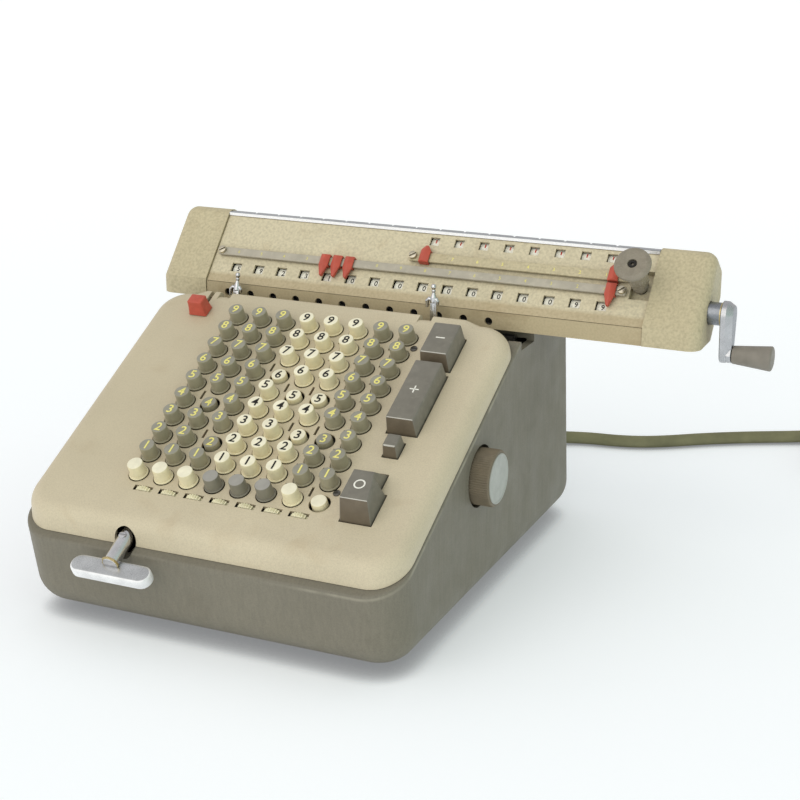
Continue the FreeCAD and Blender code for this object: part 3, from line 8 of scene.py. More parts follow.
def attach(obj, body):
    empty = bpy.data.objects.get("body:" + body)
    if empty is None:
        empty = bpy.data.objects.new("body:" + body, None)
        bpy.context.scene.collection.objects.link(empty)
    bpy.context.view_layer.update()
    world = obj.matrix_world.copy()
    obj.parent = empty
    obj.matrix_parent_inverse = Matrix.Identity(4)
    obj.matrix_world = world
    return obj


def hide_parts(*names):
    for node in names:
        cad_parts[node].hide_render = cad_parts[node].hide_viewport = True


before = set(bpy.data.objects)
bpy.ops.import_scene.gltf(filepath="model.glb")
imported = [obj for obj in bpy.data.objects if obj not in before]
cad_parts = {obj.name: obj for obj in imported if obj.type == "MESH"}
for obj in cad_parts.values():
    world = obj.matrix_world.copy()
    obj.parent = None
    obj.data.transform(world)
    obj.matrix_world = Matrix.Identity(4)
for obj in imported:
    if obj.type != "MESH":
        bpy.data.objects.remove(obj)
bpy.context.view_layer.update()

scene = bpy.context.scene

# A full-keyboard desk calculator. Sizes are millimetres in the frame's axes: X right, Y back, Z up.
millimetre = 0.001

# Keyboard plate and carriage face: tilt in degrees and starting point of each
plate_tilt = 27.6
plate_start = (0.0, -114.0, 89.0)
face_tilt = 48.5
face_start = (0.0, 56.83, 173.39)

# Digit keys
columns = 8
digit_rows = 9
column_pitch = 17.0
row_pitch = 15.37
first_column_x = -58.0
key_height = 8.9
key_top_radius = 4.75
key_foot_radius = 4.95
key_flange_radius = 5.9
key_hole_radius = 7.2
key_collar_radius = 6.35
key_flange_height = 0.9
key_stem_radius = 2.5
key_travel = 6.2
stem_end = -24.0
latched_rows = ["", "4", "2", "6", "5", "35", "3", "0"]
ivory_columns = (3, 4, 5)
key_digit_height = 6.3
key_rim_proud = 0.03
key_rim_depth = 1.4

# Function keys: left, right, front and back on the plate, height, slope of the front face
plus_key = (77.9, 97.0, 59.94, 110.66, 12.2, 1.4)
minus_key = (77.9, 97.0, 114.89, 143.63, 13.0, 2.0)
small_key = (82.9, 92.2, 41.42, 53.18, 8.2, 2.0)
zero_key = (77.5, 96.4, -9.53, 27.97, 15.0, 4.8)
zero_step = 13.3
zero_step_depth = 4.7
zero_step_crease = 0.6
zero_back_slope = 11.5
function_key_left_draw = 0.07
function_key_right_draw = 0.03
function_key_back_draw = 0.4
function_key_depth = 7.5
function_key_edge = 0.9

# Signs on the function keys: bars of plus and minus, ring of the zero, and how deep they are set
stroke_half_length = 2.9
stroke_half_width = 0.42
zero_ring_inner = 2.55
zero_ring_outer = 3.45
zero_ring_shift = -0.8
zero_ring_forward = 11.0
sign_low = -0.2
sign_high = 0.06

# Decimal thumbwheels and the coloured marks on their rods: rod, first row, last row
wheel_radius = 6.6
wheel_depth = 5.1
wheel_row = -10.5
wheel_ribs = 22
wheel_rib_depth = 1.1
wheel_half_width = 1.5
wheel_chamfer = 0.4
rod_radius = 1.8
rod_front = -17.0
rod_back = 148.0
rod_marks = [(1, 4.25, 4.72), (1, 2.25, 2.72), (4, 5.25, 5.72)]

# Side knob: its axis, then radii and places along the axis
knob_axis = (-29.5, 86.468)
knob_ridges = 72
knob_radius = 17.2
knob_face_radius = 15.2
knob_shaft_radius = 4.0
knob_shaft_start = 95.0
knob_back = 116.5
knob_front = 135.8

# Shift handle: where it leaves the housing, its shaft with collar and screw, then its bar
handle_exit = Vector((-48.3, -145.903, 60.702))
shaft_radius = 4.7
shaft_inner_end = -17.0
shaft_outer_end = 19.0
collar_radius = 5.5
collar_start = 17.4
collar_end = 18.8
shaft_screw_head = (2.3, 1.2)
bar_distance = 20.0
bar_drop = 5.2
bar_half_length = 26.5
bar_half_width = 6.3
bar_half_thickness = 3.5
bar_edge = 1.7

# Red slider: its place on the plate, then width, depth and height of its sections
slider_x = -88.0
slider_row = 141.5
slider_slot_half_width = 1.5
slider_button = [(13.0, 9.8, 0.4), (12.2, 9.2, 1.8), (10.6, 8.0, 8.0), (10.5, 8.0, 11.0)]
slider_neck = [(2.0, 6.0, -4.6), (2.0, 6.0, 0.6)]
slider_foot = [(8.0, 6.0, -7.0), (8.0, 6.0, -4.5)]
slider_edge = 0.8

# Levers behind the cover: pivot, then place, length and lean of each
lever_pivot = (39.498, 149.997)
lever_places = {"left_lever": (-78.2, 24.5, 11.0), "right_lever": (64.6, 31.5, 0.0)}
lever_notch_half_width = 4.4
lever_pin_radius = 1.5
lever_pin_reach = 6.0
lever_blade = (4.2, 3.0)
lever_shoulder = (3.0, 2.4)

# Horns of a lever: side, reach, and the tip's height from the lever's end; then the radii along one
lever_horns = [(-1, 4.4, -15.0), (1, 2.6, -13.0)]
lever_horn_radii = [1.2, 1.4, 1.4, 0.9]

# Housing: the cover's edges, the rim along its back, and the screws; heads are radius and height
cover_depth = 13.3
cover_back = 163.0
cover_edge_radius = 10.0
cover_back_edge_radius = 3.0
rim_left_end = -101.0
rim_left_full = -93.0
rim_right_full = 90.0
rim_right_end = 101.0
foot_screws = [(x, y, 3.0) for x in (-88.0, 88.0) for y in (-104.0, 104.0)]
bottom_screws = [(x, y, 6.2) for x in (-90.0, 90.0) for y in (-56.5, 1.0, 58.5)]
bottom_screw_top = 12.7
bottom_screw_radius = 1.9
bottom_screw_head = (3.4, 1.8)
cover_screws = [(67.7, 130.65), (67.7, 9.22)]
cover_screw_depth = 9.0
cover_screw_radius = 1.2
cover_screw_head = (2.2, 0.8)

# Carriage
result_dials = 16
counter_dials = 8
first_result_x = -87.06
first_counter_x = 48.21
result_row = 0.9
counter_row = 34.4
dial_radius = 9.1
dial_width = 6.8
dial_core_radius = 6.0
dial_axis_depth = 11.7
dial_edge = 0.3
shown_result = "5923100000000099"
dial_digit_height = 3.5
dial_digit_lift = 0.02
result_digit_shift = (0.5, 0.3)
counter_digit_shift = (0.3, 0.0)
counter_stroke = (-0.4, 0.4, 0.2, 2.6)
counter_notch = [(-1.9, -3.2), (1.9, -3.2), (0, -1.5)]
counter_mark_proud = 0.04
face_fold_row = -4.2

# Marker rails: left, right, row and width of each, their screws and numbers; then their markers
rail_low = 1.5
rail_high = 2.9
lower_rail = (-102.0, 181.6, 11.3, 5.6)
upper_rail = (35.5, 181.5, 21.2, 6.4)
rail_edge = 0.35
rail_screw_inset = 2.3
rail_screw_radius = 1.5
rail_screw_head = (2.6, 2.0)
rail_screw_turn = 0.6
rail_number_height = 2.3
slide_gap = 0.4
marker_half_width = 3.3
marker_wall = 0.8
marker_top = 6.0
marker_tip_top = 4.65
marker_tip_half = 0.8
lower_pointer = 7.3
upper_pointer = 3.4
lower_marker_places = (-22.4, -13.65, -4.9)
lower_right_marker_x = 172.4
upper_left_marker_x = 46.01
upper_right_marker_x = 172.0

# Release knob and clearing crank
release_place = (188.9, 17.6)
release_top = 27.6
release_radius = 11.6
release_head_height = 4.2
release_stem_radius = 6.6
release_stem_start = 4.6
release_stem_turn = 12.0
release_guide = [(0, -12.0), (3.2, -12.0), (3.2, -0.8), (5.2, -0.8), (5.2, 4.7), (0, 4.7)]
crank_axis = (72.804, 172.798)
crank_throw = 24.3
crank_arm_x = (239.5, 246.7)
crank_hub_radius = 8.6
crank_end_radius = 5.7
crank_shaft_start = 191.5
crank_shaft_radius = 4.0
crank_boss_start = 229.0
crank_boss_radius = 7.0
grip_pin_radius = 2.5
grip_pin_end = 269.0
grip_x = (247.05, 271.05)

# Mains lead: the gland it leaves by, its route, then the coil of the length that lies out of sight
cord_radius = 4.75
gland_back_y = 155.38
gland_radius = 8.0
gland_flange_radius = 11.0
gland_flange_thickness = 3.0
gland_ribs = 4
gland_rib_pitch = 4.6
gland_rib_depth = 0.9
gland_taper = 0.085
cord_route = [
    (40.0, 176.0, 38.0),
    (40.0, 195.0, 38.0),
    (40.0, 216.0, 33.5),
    (40.0, 236.0, 24.0),
    (46.2, 255.0, 14.0),
    (57.9, 271.2, 7.2),
    (74.1, 283.0, 4.85),
    (93.1, 289.2, 4.75),
    (113.0, 291.0, 4.8),
    (132.0, 296.5, 4.75),
    (150.0, 306.0, 4.8),
    (174.0, 323.5, 4.75),
    (206.0, 342.0, 4.8),
    (240.0, 358.0, 5.0),
    (274.0, 373.0, 6.4),
    (304.0, 385.5, 6.4),
]
coil_outer_radius = 60.0
coil_step = 10.2
coil_layer_height = 10.2
coil_half_turns_in = 4
coil_half_turns_out = 4
coil_inner_draw = 1.1
coil_climb_draw = 2.5
coil_climb_step = 8.0
coil_tail = 44.0
coil_points_per_half_turn = 12

# Plug: radius, place along the axis and rounding of each corner of its shell; then its pins
plug_shell = [
    (0, 0, 0), (6.2, 0, 0.5), (7.4, 3, 0.5), (6.6, 5, 0.5), (8.6, 8, 0.5), (8.0, 10, 0.5),
    (15.2, 18, 3), (16.0, 22, 1), (15.2, 26, 1), (16.0, 30, 1), (15.2, 34, 1), (16.0, 38, 1),
    (16.0, 50, 1.5), (0, 50, 0),
]
plug_pin_spacing = 19.0
plug_pin_radius = 2.4
plug_pin_start = 49.0
plug_pin_end = 69.0

# Camera at the photograph's viewing angle
camera_place = Vector((445.58, -862.01, 419.44))
camera_yaw = 24.144
camera_pitch = 17.788
camera_sensor = 36.0
camera_lens = 72.4

# Stage: half the floor's width in metres, the floor's own glow, and the sky's strength
floor_reach = 12.0
floor_glow = 0.22
sky_strength = 0.88


def tilted(tilt, start):
    return Matrix.Scale(millimetre, 4) @ Matrix.Translation(start) @ Matrix.Rotation(radians(tilt), 4, "X")


body_frame = Matrix.Scale(millimetre, 4)
plate_frame = tilted(plate_tilt, plate_start)
face_frame = tilted(face_tilt, face_start)
right_hand = Vector((1, 0, 0))
upward = Vector((0, 0, 1))


# Materials

def shade(red, green, blue):
    """A colour given as the eye reads it, 0 to 255, in the linear values that shaders take."""
    values = []
    for part in (red, green, blue):
        share = part / 255
        values.append(share / 12.92 if share <= 0.04045 else ((share + 0.055) / 1.055) ** 2.4)
    return (*values, 1.0)


def scaled(colour, factor):
    return (*[min(part * factor, 1.0) for part in colour[:3]], 1.0)


def add_node(tree, kind, inputs, **settings):
    """A new shader node with its settings; each input is linked to a socket or set to a value."""
    node = tree.nodes.new(kind)
    for setting, value in settings.items():
        setattr(node, setting, value)
    for socket, source in inputs.items():
        if hasattr(source, "is_linked"):
            tree.links.new(source, node.inputs[socket])
        else:
            node.inputs[socket].default_value = source
    return node


class Finish:
    """A node material built up from noise, ramps and mixes. Sizes are in millimetres."""

    def __init__(self, name, constants):
        self.material = bpy.data.materials.new(name)
        self.material.use_nodes = True
        self.tree = self.material.node_tree
        self.shader = self.tree.nodes["Principled BSDF"]
        self.points = self.node("ShaderNodeTexCoord", {}).outputs["Object"]
        for socket, value in constants.items():
            self.shader.inputs[socket].default_value = value

    def node(self, kind, inputs, **settings):
        return add_node(self.tree, kind, inputs, **settings)

    def feed(self, socket, source):
        self.tree.links.new(source, self.shader.inputs[socket])

    def noise(self, size, detail=4.0, stretch=None, distortion=0.0):
        source = self.points
        if stretch:
            source = self.node("ShaderNodeMapping", {"Vector": source, "Scale": stretch}).outputs["Vector"]
        inputs = {"Vector": source, "Scale": 1 / (size * millimetre)}
        inputs.update({"Detail": detail, "Distortion": distortion})
        return self.node("ShaderNodeTexNoise", inputs).outputs[0]

    def ramp(self, value, *stops):
        """Runs between two stops, each a position with a colour or a grey."""
        node = self.node("ShaderNodeValToRGB", {"Fac": value})
        for element, (position, colour) in zip(node.color_ramp.elements, stops):
            element.position = position
            element.color = colour if isinstance(colour, tuple) else (colour, colour, colour, 1.0)
        return node.outputs["Color"]

    def mix(self, share, first, second, blend="MIX"):
        inputs = {0: share, 6: first, 7: second}
        return self.node("ShaderNodeMix", inputs, data_type="RGBA", blend_type=blend).outputs[2]

    def measure(self, direction, start=(0, 0, 0)):
        """How far a point lies from a starting point along a direction, in millimetres."""
        dot = self.node("ShaderNodeVectorMath", {0: self.points, 1: direction}, operation="DOT_PRODUCT")
        inputs = {0: dot.outputs["Value"], 1: 1 / millimetre, 2: -Vector(start).dot(direction)}
        return self.node("ShaderNodeMath", inputs, operation="MULTIPLY_ADD").outputs[0]

    def share(self, value, none, full, most=1.0):
        """Rises from nothing where the value is `none` to the most where it is `full`."""
        inputs = {"Value": value, "From Min": none, "From Max": full, "To Max": most}
        return self.node("ShaderNodeMapRange", inputs).outputs["Result"]

    def times(self, first, second):
        return self.node("ShaderNodeMath", {0: first, 1: second}, operation="MULTIPLY").outputs[0]

    def openness(self, reach):
        inputs = {"Distance": reach * millimetre}
        return self.node("ShaderNodeAmbientOcclusion", inputs, samples=8).outputs["AO"]

    def bump(self, height, depth, strength=1.0):
        inputs = {"Strength": strength, "Distance": depth * millimetre, "Height": height}
        self.feed("Normal", self.node("ShaderNodeBump", inputs).outputs["Normal"])

    def roughen(self, source, low, high):
        """Lets the roughness drift between two values."""
        self.feed("Roughness", self.ramp(source, (0.3, low), (0.7, high)))


def paint(name, colour, stain, grain, depth, roughness, stained=0.3, mottled=0.45, layers=()):
    """Old enamel: drifting colour, a fine grain, stains, and grimy painted shade where surfaces meet."""
    finish = Finish(name, {"Specular IOR Level": 0.3})
    tone = finish.ramp(finish.noise(55.0), (0.3, scaled(colour, 0.95)), (0.7, scaled(colour, 1.04)))
    fine = finish.noise(grain, detail=3.0)
    tone = finish.mix(mottled, tone, finish.ramp(fine, (0.3, 0.74), (0.62, 1.0)), "MULTIPLY")
    stains = finish.ramp(finish.noise(22.0, detail=9.0, distortion=0.4), (0.58, 0.0), (0.8, stained))
    tone = finish.mix(stains, tone, stain)
    specks = finish.ramp(finish.noise(2.2, detail=2.0), (0.77, 0.0), (0.82, 0.4))
    tone = finish.mix(specks, tone, scaled(stain, 0.55))
    for layer in layers:
        tone = layer(finish, tone)
    # Darker where surfaces meet and close in: painted shade, partly dirt.
    grime_and_shade = finish.ramp(finish.openness(4.0), (0.3, 0.6), (0.8, 0.0))
    finish.feed("Base Color", finish.mix(grime_and_shade, tone, scaled(stain, 0.45)))
    finish.roughen(finish.noise(20.0), roughness - 0.08, roughness + 0.1)
    finish.bump(fine, depth)
    return finish.material


def brushed_streaks(finish, tone):
    """Upright brush marks in the base's enamel."""
    marks = finish.ramp(finish.noise(2.0, detail=5.0, stretch=(1.0, 1.0, 0.08)), (0.32, 0.8), (0.66, 1.0))
    return finish.mix(0.5, tone, marks, "MULTIPLY")


def worn_rim(finish, tone):
    """A paler line along the base's rounded upper edge: a painted highlight, broken into patches like paint
    rubbed down to a paler coat.
    """
    outward = plate_frame.to_3x3().col[2].normalized()
    below = finish.measure(-outward, Vector(plate_start) - outward * cover_depth)
    line = finish.times(finish.share(below, 0.6, 1.2), finish.share(below, 3.0, 1.8))
    across = finish.measure(right_hand)
    line = finish.times(line, finish.share(across, 40.0, 90.0))
    rubbed = finish.ramp(finish.noise(26.0, detail=5.0), (0.38, 0.05), (0.6, 0.6))
    return finish.mix(finish.times(line, rubbed), tone, shade(176, 170, 152))


def handled_plate(finish, tone):
    """The key plate, greyer than the front, most of all on its left."""
    up_the_plate = plate_frame.to_3x3().col[1].normalized()
    row = finish.measure(up_the_plate, Vector(plate_start))
    across = finish.measure(right_hand)
    greyed = finish.times(finish.share(row, -32.0, 10.0), finish.share(across, 80.0, -60.0, 0.32))
    return finish.mix(greyed, tone, shade(180, 169, 142))


def soiled_fold(finish, tone):
    """The carriage face under the fold below the windows, painted darker: painted shade where less light
    falls, and dirt.
    """
    up_the_face = face_frame.to_3x3().col[1].normalized()
    row = finish.measure(up_the_face, Vector(face_start))
    shaded = finish.share(row, face_fold_row + 1.0, face_fold_row - 1.5, 0.45)
    return finish.mix(shaded, tone, shade(158, 134, 92))


def plastic(name, colour, roughness, wear=0.0):
    """Moulded plastic: slightly uneven colour, dusty corners darkened as painted shade, faint moulding
    texture.
    """
    finish = Finish(name, {"Specular IOR Level": 0.4})
    tone = finish.ramp(finish.noise(6.0), (0.3, scaled(colour, 0.9)), (0.7, scaled(colour, 1.08)))
    # Darker in corners and hollows: painted shade, partly dirt.
    dust_and_shade = finish.ramp(finish.openness(2.5), (0.3, 0.5), (0.8, 0.0))
    tone = finish.mix(dust_and_shade, tone, scaled(colour, 0.45))
    if wear:
        rubbed = finish.ramp(finish.noise(3.0, detail=8.0), (0.58, 0.0), (0.75, wear))
        tone = finish.mix(rubbed, tone, scaled(colour, 1.6))
    finish.feed("Base Color", tone)
    finish.roughen(finish.noise(2.5), roughness - 0.07, roughness + 0.1)
    finish.bump(finish.noise(0.8, detail=2.0), 0.03, 0.5)
    return finish.material


def metal(name, colour, roughness, grain=None, metallic=1.0):
    """Plated or bare metal with fine brush marks, a few dull patches, and soiled corners darkened as
    painted shade.
    """
    finish = Finish(name, {"Metallic": metallic})
    tone = finish.ramp(finish.noise(9.0, detail=6.0), (0.35, scaled(colour, 0.82)), (0.65, colour))
    # Darker in corners and hollows: painted shade, partly dirt.
    soil_and_shade = finish.ramp(finish.openness(3.0), (0.3, 0.6), (0.8, 0.0))
    finish.feed("Base Color", finish.mix(soil_and_shade, tone, scaled(colour, 0.25)))
    marks = finish.noise(0.9, detail=3.0, stretch=grain or (1.0, 1.0, 1.0))
    finish.roughen(marks, max(roughness - 0.08, 0.05), roughness + 0.12)
    finish.bump(marks, 0.02, 0.4)
    return finish.material


def polished_strip(name, colour, highlight_colour, turn_height):
    """Plated strip that is dull on top, with a painted highlight: coloured bright on its front face below a
    set height.
    """
    finish = Finish(name, {"Metallic": 0.5})
    height = finish.measure(upward)
    dull = finish.ramp(finish.noise(9.0, detail=6.0), (0.35, scaled(colour, 0.85)), (0.65, colour))
    # Below the set height the strip takes the bright colour: a painted highlight.
    highlight_band = finish.share(height, turn_height, turn_height - 0.3)
    finish.feed("Base Color", finish.mix(highlight_band, dull, highlight_colour))
    finish.roughen(finish.noise(0.9, detail=3.0, stretch=(0.2, 6.0, 6.0)), 0.2, 0.36)
    return finish.material


def rubber(name, colour, roughness):
    """Rubber and textile skins: matt, blotchy, with a fine pebbled surface."""
    finish = Finish(name, {"Specular IOR Level": 0.25})
    blotches = finish.noise(18.0, detail=6.0)
    tone = finish.ramp(blotches, (0.3, scaled(colour, 0.8)), (0.7, scaled(colour, 1.15)))
    finish.feed("Base Color", tone)
    finish.roughen(finish.noise(4.0), roughness - 0.08, roughness + 0.08)
    finish.bump(finish.noise(0.7, detail=2.0), 0.06, 0.6)
    return finish.material


def ink(name, colour):
    """Filled or printed numerals: a thin, slightly worn coat."""
    finish = Finish(name, {"Roughness": 0.5, "Specular IOR Level": 0.3})
    tone = finish.ramp(finish.noise(0.9, detail=5.0), (0.3, scaled(colour, 0.8)), (0.6, colour))
    finish.feed("Base Color", tone)
    return finish.material


base_paint = paint("base_paint", shade(128, 123, 109), shade(98, 90, 74), 0.9, 0.08, 0.5,
                   layers=(brushed_streaks, worn_rim))
cover_paint = paint("cover_paint", shade(210, 198, 171), shade(176, 152, 116), 0.8, 0.03, 0.45,
                    layers=(handled_plate,))
carriage_paint = paint("carriage_paint", shade(200, 188, 155), shade(166, 142, 102), 1.7, 0.22, 0.55,
                       mottled=0.8)
face_paint = paint("carriage_face_paint", shade(214, 203, 173), shade(166, 142, 102), 1.7, 0.22, 0.55,
                   mottled=0.8, layers=(soiled_fold,))
apron_paint = paint("carriage_apron_paint", shade(188, 173, 140), shade(132, 106, 68), 1.3, 0.14, 0.55, 0.5)
# Each key plastic has a copy for the key tops, coloured apart from the sides: painted light.
dark_key = plastic("dark_key_plastic", shade(156, 150, 126), 0.42)
dark_top_shading = plastic("dark_key_top_shading", shade(150, 147, 134), 0.5)
ivory_key = plastic("ivory_key_plastic", shade(229, 219, 183), 0.35)
ivory_top_shading = plastic("ivory_key_top_shading", shade(242, 236, 210), 0.4)
grey_key = plastic("grey_key_plastic", shade(126, 122, 108), 0.42)
grey_top_shading = plastic("grey_key_top_shading", shade(160, 157, 150), 0.5)
# Function keys: a darker copy of their plastic for front faces is painted shade; a pale copy for the
# rounded front-top edge is a painted highlight, with some wear.
function_key = plastic("function_key_plastic", shade(122, 118, 108), 0.4, wear=0.2)
front_face_shade = plastic("function_key_front_shade", shade(106, 95, 79), 0.45, wear=0.15)
edge_highlight_and_wear = plastic("key_edge_highlight_and_wear", shade(196, 193, 184), 0.4, wear=0.3)
wheel_ivory = plastic("wheel_ivory_plastic", shade(240, 233, 200), 0.4)
red_plastic = plastic("red_plastic", shade(190, 84, 66), 0.4, wear=0.15)
rail_grey = plastic("rail_lacquer", shade(178, 171, 155), 0.45, wear=0.15)
knob_plastic = plastic("knob_plastic", shade(120, 109, 90), 0.5)
knob_face = plastic("knob_face_plastic", shade(170, 172, 165), 0.35)
release_grey = plastic("release_knob_plastic", shade(138, 130, 115), 0.25, wear=0.2)
grip_plastic = plastic("grip_plastic", shade(134, 128, 118), 0.45)
plug_plastic = plastic("plug_plastic", shade(52, 48, 44), 0.4)
# Black that stands in for shade in pits and gaps: the dial cores, the rods under the key slits, the release
# knob's socket.
shade_black = plastic("shade_black", shade(26, 22, 18), 0.6)
chrome = metal("bright_metal", shade(214, 214, 216), 0.16)
# The handle bar's two metals are painted reflections: near white for its front and sides, greyer for its
# top.
brushed_bar_reflection = metal("brushed_bar_painted_reflection", shade(252, 252, 253), 0.3, (1.0, 12.0, 12.0), 0.25)
bar_top = metal("bar_top_metal", shade(202, 204, 206), 0.28, (1.0, 12.0, 12.0), 0.8)
cast_metal = metal("cast_aluminium", shade(196, 197, 200), 0.3)
plated = metal("plated_screws", shade(206, 198, 178), 0.3)
# A darker metal: on the crank arm's +X face a painted dark reflection; the crank's boss takes it too.
arm_metal = metal("arm_side_metal", shade(142, 146, 152), 0.3)
bar_metal = polished_strip("top_bar_metal", shade(158, 161, 166), shade(252, 250, 250), 205.6)
brass = metal("pale_brass", shade(206, 188, 140), 0.25)
plain_steel = metal("plain_steel", shade(120, 118, 114), 0.4)
foot_rubber = rubber("foot_rubber", shade(44, 42, 40), 0.75)
cord_rubber = rubber("cord_rubber", shade(126, 124, 94), 0.6)
tie_cloth = rubber("tie_band", shade(60, 58, 54), 0.8)
yellow_ink = ink("yellow_ink", shade(246, 236, 140))
faint_ink = ink("faint_yellow_ink", shade(222, 212, 130))
black_ink = ink("black_ink", shade(28, 26, 22))
white_ink = ink("white_ink", shade(246, 244, 234))
red_ink = ink("red_ink", shade(196, 52, 40))
dial_card = ink("dial_card", shade(255, 252, 238))


# Mesh building

def rounded(corners, steps=4):
    """A line through (x, y, radius) corners, each but the end ones rounded by an arc of its radius."""
    points = []
    last = len(corners) - 1
    for i, (x, y, radius) in enumerate(corners):
        here = Vector((x, y))
        if radius == 0 or i in (0, last):
            points.append(here)
            continue
        before = (Vector(corners[i - 1][:2]) - here).normalized()
        after = (Vector(corners[i + 1][:2]) - here).normalized()
        half = before.angle(after) / 2
        centre = here + (before + after).normalized() * radius / sin(half)
        start = here + before * radius / tan(half) - centre
        turn = start.angle_signed(here + after * radius / tan(half) - centre)
        for step in range(steps + 1):
            arm = start.copy()
            arm.rotate(Matrix.Rotation(-turn * step / steps, 2))
            points.append(centre + arm)
    return [tuple(point) for point in points]


def stadium(half_length, half_width, steps=10):
    points = []
    for end in (1, -1):
        for step in range(steps + 1):
            angle = -pi / 2 + pi * step / steps
            arm = Vector((cos(angle), sin(angle))) * half_width * end
            points.append((end * (half_length - half_width) + arm.x, arm.y))
    return points


def rectangle(left, right, front, back):
    return [(left, front), (right, front), (right, back), (left, back)]


def block(x, y, width, depth):
    """A rectangle about its middle."""
    return rectangle(x - width / 2, x + width / 2, y - depth / 2, y + depth / 2)


def along_x(x, y, z):
    """Stands a turned shape's axis along X."""
    return Matrix.Translation((x, y, z)) @ Matrix.Rotation(pi / 2, 4, "Y")


def along_y(x, y, z):
    """Stands a turned shape's axis along Y."""
    return Matrix.Translation((x, y, z)) @ Matrix.Rotation(-pi / 2, 4, "X")


def along(start, direction):
    """Stands a turned shape's axis along any direction."""
    return Matrix.Translation(start) @ direction.to_track_quat("Z", "Y").to_matrix().to_4x4()


def skin(part, rings):
    """Faces between rings of points, and one over each end."""
    for low, high in zip(rings, rings[1:]):
        for i in range(len(low)):
            j = (i + 1) % len(low)
            part.faces.new((low[i], low[j], high[j], high[i]))
    part.faces.new(rings[0])
    part.faces.new(rings[-1])


def round_edges(part, edges, radius, segments):
    bmesh.ops.bevel(part, geom=edges, offset=radius, segments=segments, profile=0.5, affect="EDGES",
                    clamp_overlap=True)


def add_object(name, data):
    made = bpy.data.objects.new(name, data)
    scene.collection.objects.link(made)
    return made


class Shape:
    """Gathers the solids of one piece, in millimetres, in a frame of its own."""

    def __init__(self, place):
        self.place = place
        self.mesh = bmesh.new()

    def take(self, part, place, material, accents=()):
        """Adds a solid; faces that look near enough in an accent's direction, and lie above its floor
        if it has one, take its material."""
        bmesh.ops.recalc_face_normals(part, faces=part.faces)
        for face in part.faces:
            face.material_index = material
            for direction, limit, other, *floor in accents:
                high_enough = not floor or face.calc_center_median().z > floor[0]
                if high_enough and face.normal.angle(Vector(direction), pi) < radians(limit):
                    face.material_index = other
        part.transform(place)
        carrier = bpy.data.meshes.new("carrier")
        part.to_mesh(carrier)
        part.free()
        self.mesh.from_mesh(carrier)
        bpy.data.meshes.remove(carrier)

    def turned(self, profile, place=Matrix(), material=0, steps=40, ridges=0, accents=()):
        """A solid of revolution about its Z axis through (radius, height[, ripple]) points."""
        part = bmesh.new()
        rings = []
        for radius, height, *ripple in profile:
            if radius < 1e-6:
                rings.append([part.verts.new((0, 0, height))])
                continue
            ring = []
            for step in range(steps):
                angle = 2 * pi * step / steps
                dip = ripple[0] * (1 - cos(ridges * angle)) / 2 if ripple else 0
                reach = radius - dip
                ring.append(part.verts.new((reach * cos(angle), reach * sin(angle), height)))
            rings.append(ring)
        for low, high in zip(rings, rings[1:]):
            for i in range(steps):
                j = (i + 1) % steps
                corners = [low[i % len(low)], low[j % len(low)], high[j % len(high)], high[i % len(high)]]
                part.faces.new(dict.fromkeys(corners))
        self.take(part, place, material, accents)

    def rod(self, radius, start, end, place=Matrix(), material=0, steps=40, edges=(0, 0)):
        """A round bar along its Z axis; the edges of its two ends may be rounded."""
        profile = [(0, start, 0), (radius, start, edges[0]), (radius, end, edges[1]), (0, end, 0)]
        self.turned(rounded(profile), place, material, steps)

    def prism(self, sections, edge=0.0, place=Matrix(), material=0, segments=3, accents=()):
        """A solid through (outline, height) sections, its upright and top edges rounded."""
        part = bmesh.new()
        rings = []
        for outline, height in sections:
            rings.append([part.verts.new((x, y, height)) for x, y in outline])
        skin(part, rings)
        bmesh.ops.recalc_face_normals(part, faces=part.faces)
        if edge:
            lower = {vert for ring in rings[:-1] for vert in ring}
            level = [e for e in part.edges if e.verts[0].co.z == e.verts[1].co.z and lower >= set(e.verts)]
            kept = [e for e in part.edges if e not in level and e.calc_face_angle(0) > radians(15)]
            round_edges(part, kept, edge, segments)
        self.take(part, place, material, accents)

    def facets(self, corners, faces, edge):
        """A solid with flat facets, all its edges slightly rounded."""
        part = bmesh.new()
        verts = [part.verts.new(corner) for corner in corners]
        for face in faces:
            part.faces.new([verts[i] for i in face])
        bmesh.ops.recalc_face_normals(part, faces=part.faces)
        round_edges(part, part.edges[:], edge, 2)
        self.take(part, Matrix(), 0)

    def tube(self, points, radii, steps=14):
        """A round bar through points, with a radius at each."""
        part = bmesh.new()
        rings = []
        for i, point in enumerate(points):
            direction = points[min(i + 1, len(points) - 1)] - points[max(i - 1, 0)]
            turn = direction.to_track_quat("Z", "Y")
            ring = []
            for step in range(steps):
                angle = 2 * pi * step / steps
                arm = Vector((cos(angle), sin(angle), 0)) * radii[i]
                arm.rotate(turn)
                ring.append(part.verts.new(point + arm))
            rings.append(ring)
        skin(part, rings)
        self.take(part, Matrix(), 0)

    def sign(self, text, height, place, material=0):
        """One numeral, standing on the local XY plane and centred on its origin."""
        part = bmesh.new()
        part.from_mesh(numeral(text))
        self.take(part, place @ Matrix.Scale(height, 4), material)

    def piece(self, name, body, slot, *finishes, replaces=()):
        """Turns what was gathered into a piece that rides on a body."""
        self.mesh.transform(self.place)
        data = bpy.data.meshes.new(name)
        self.mesh.to_mesh(data)
        self.mesh.free()
        data.shade_smooth()
        data.set_sharp_from_angle(angle=radians(32))
        for finish in finishes:
            data.materials.append(finish)
        made = add_object(name, data)
        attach(made, body)
        if replaces:
            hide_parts(*replaces)
        return made


numerals = {}


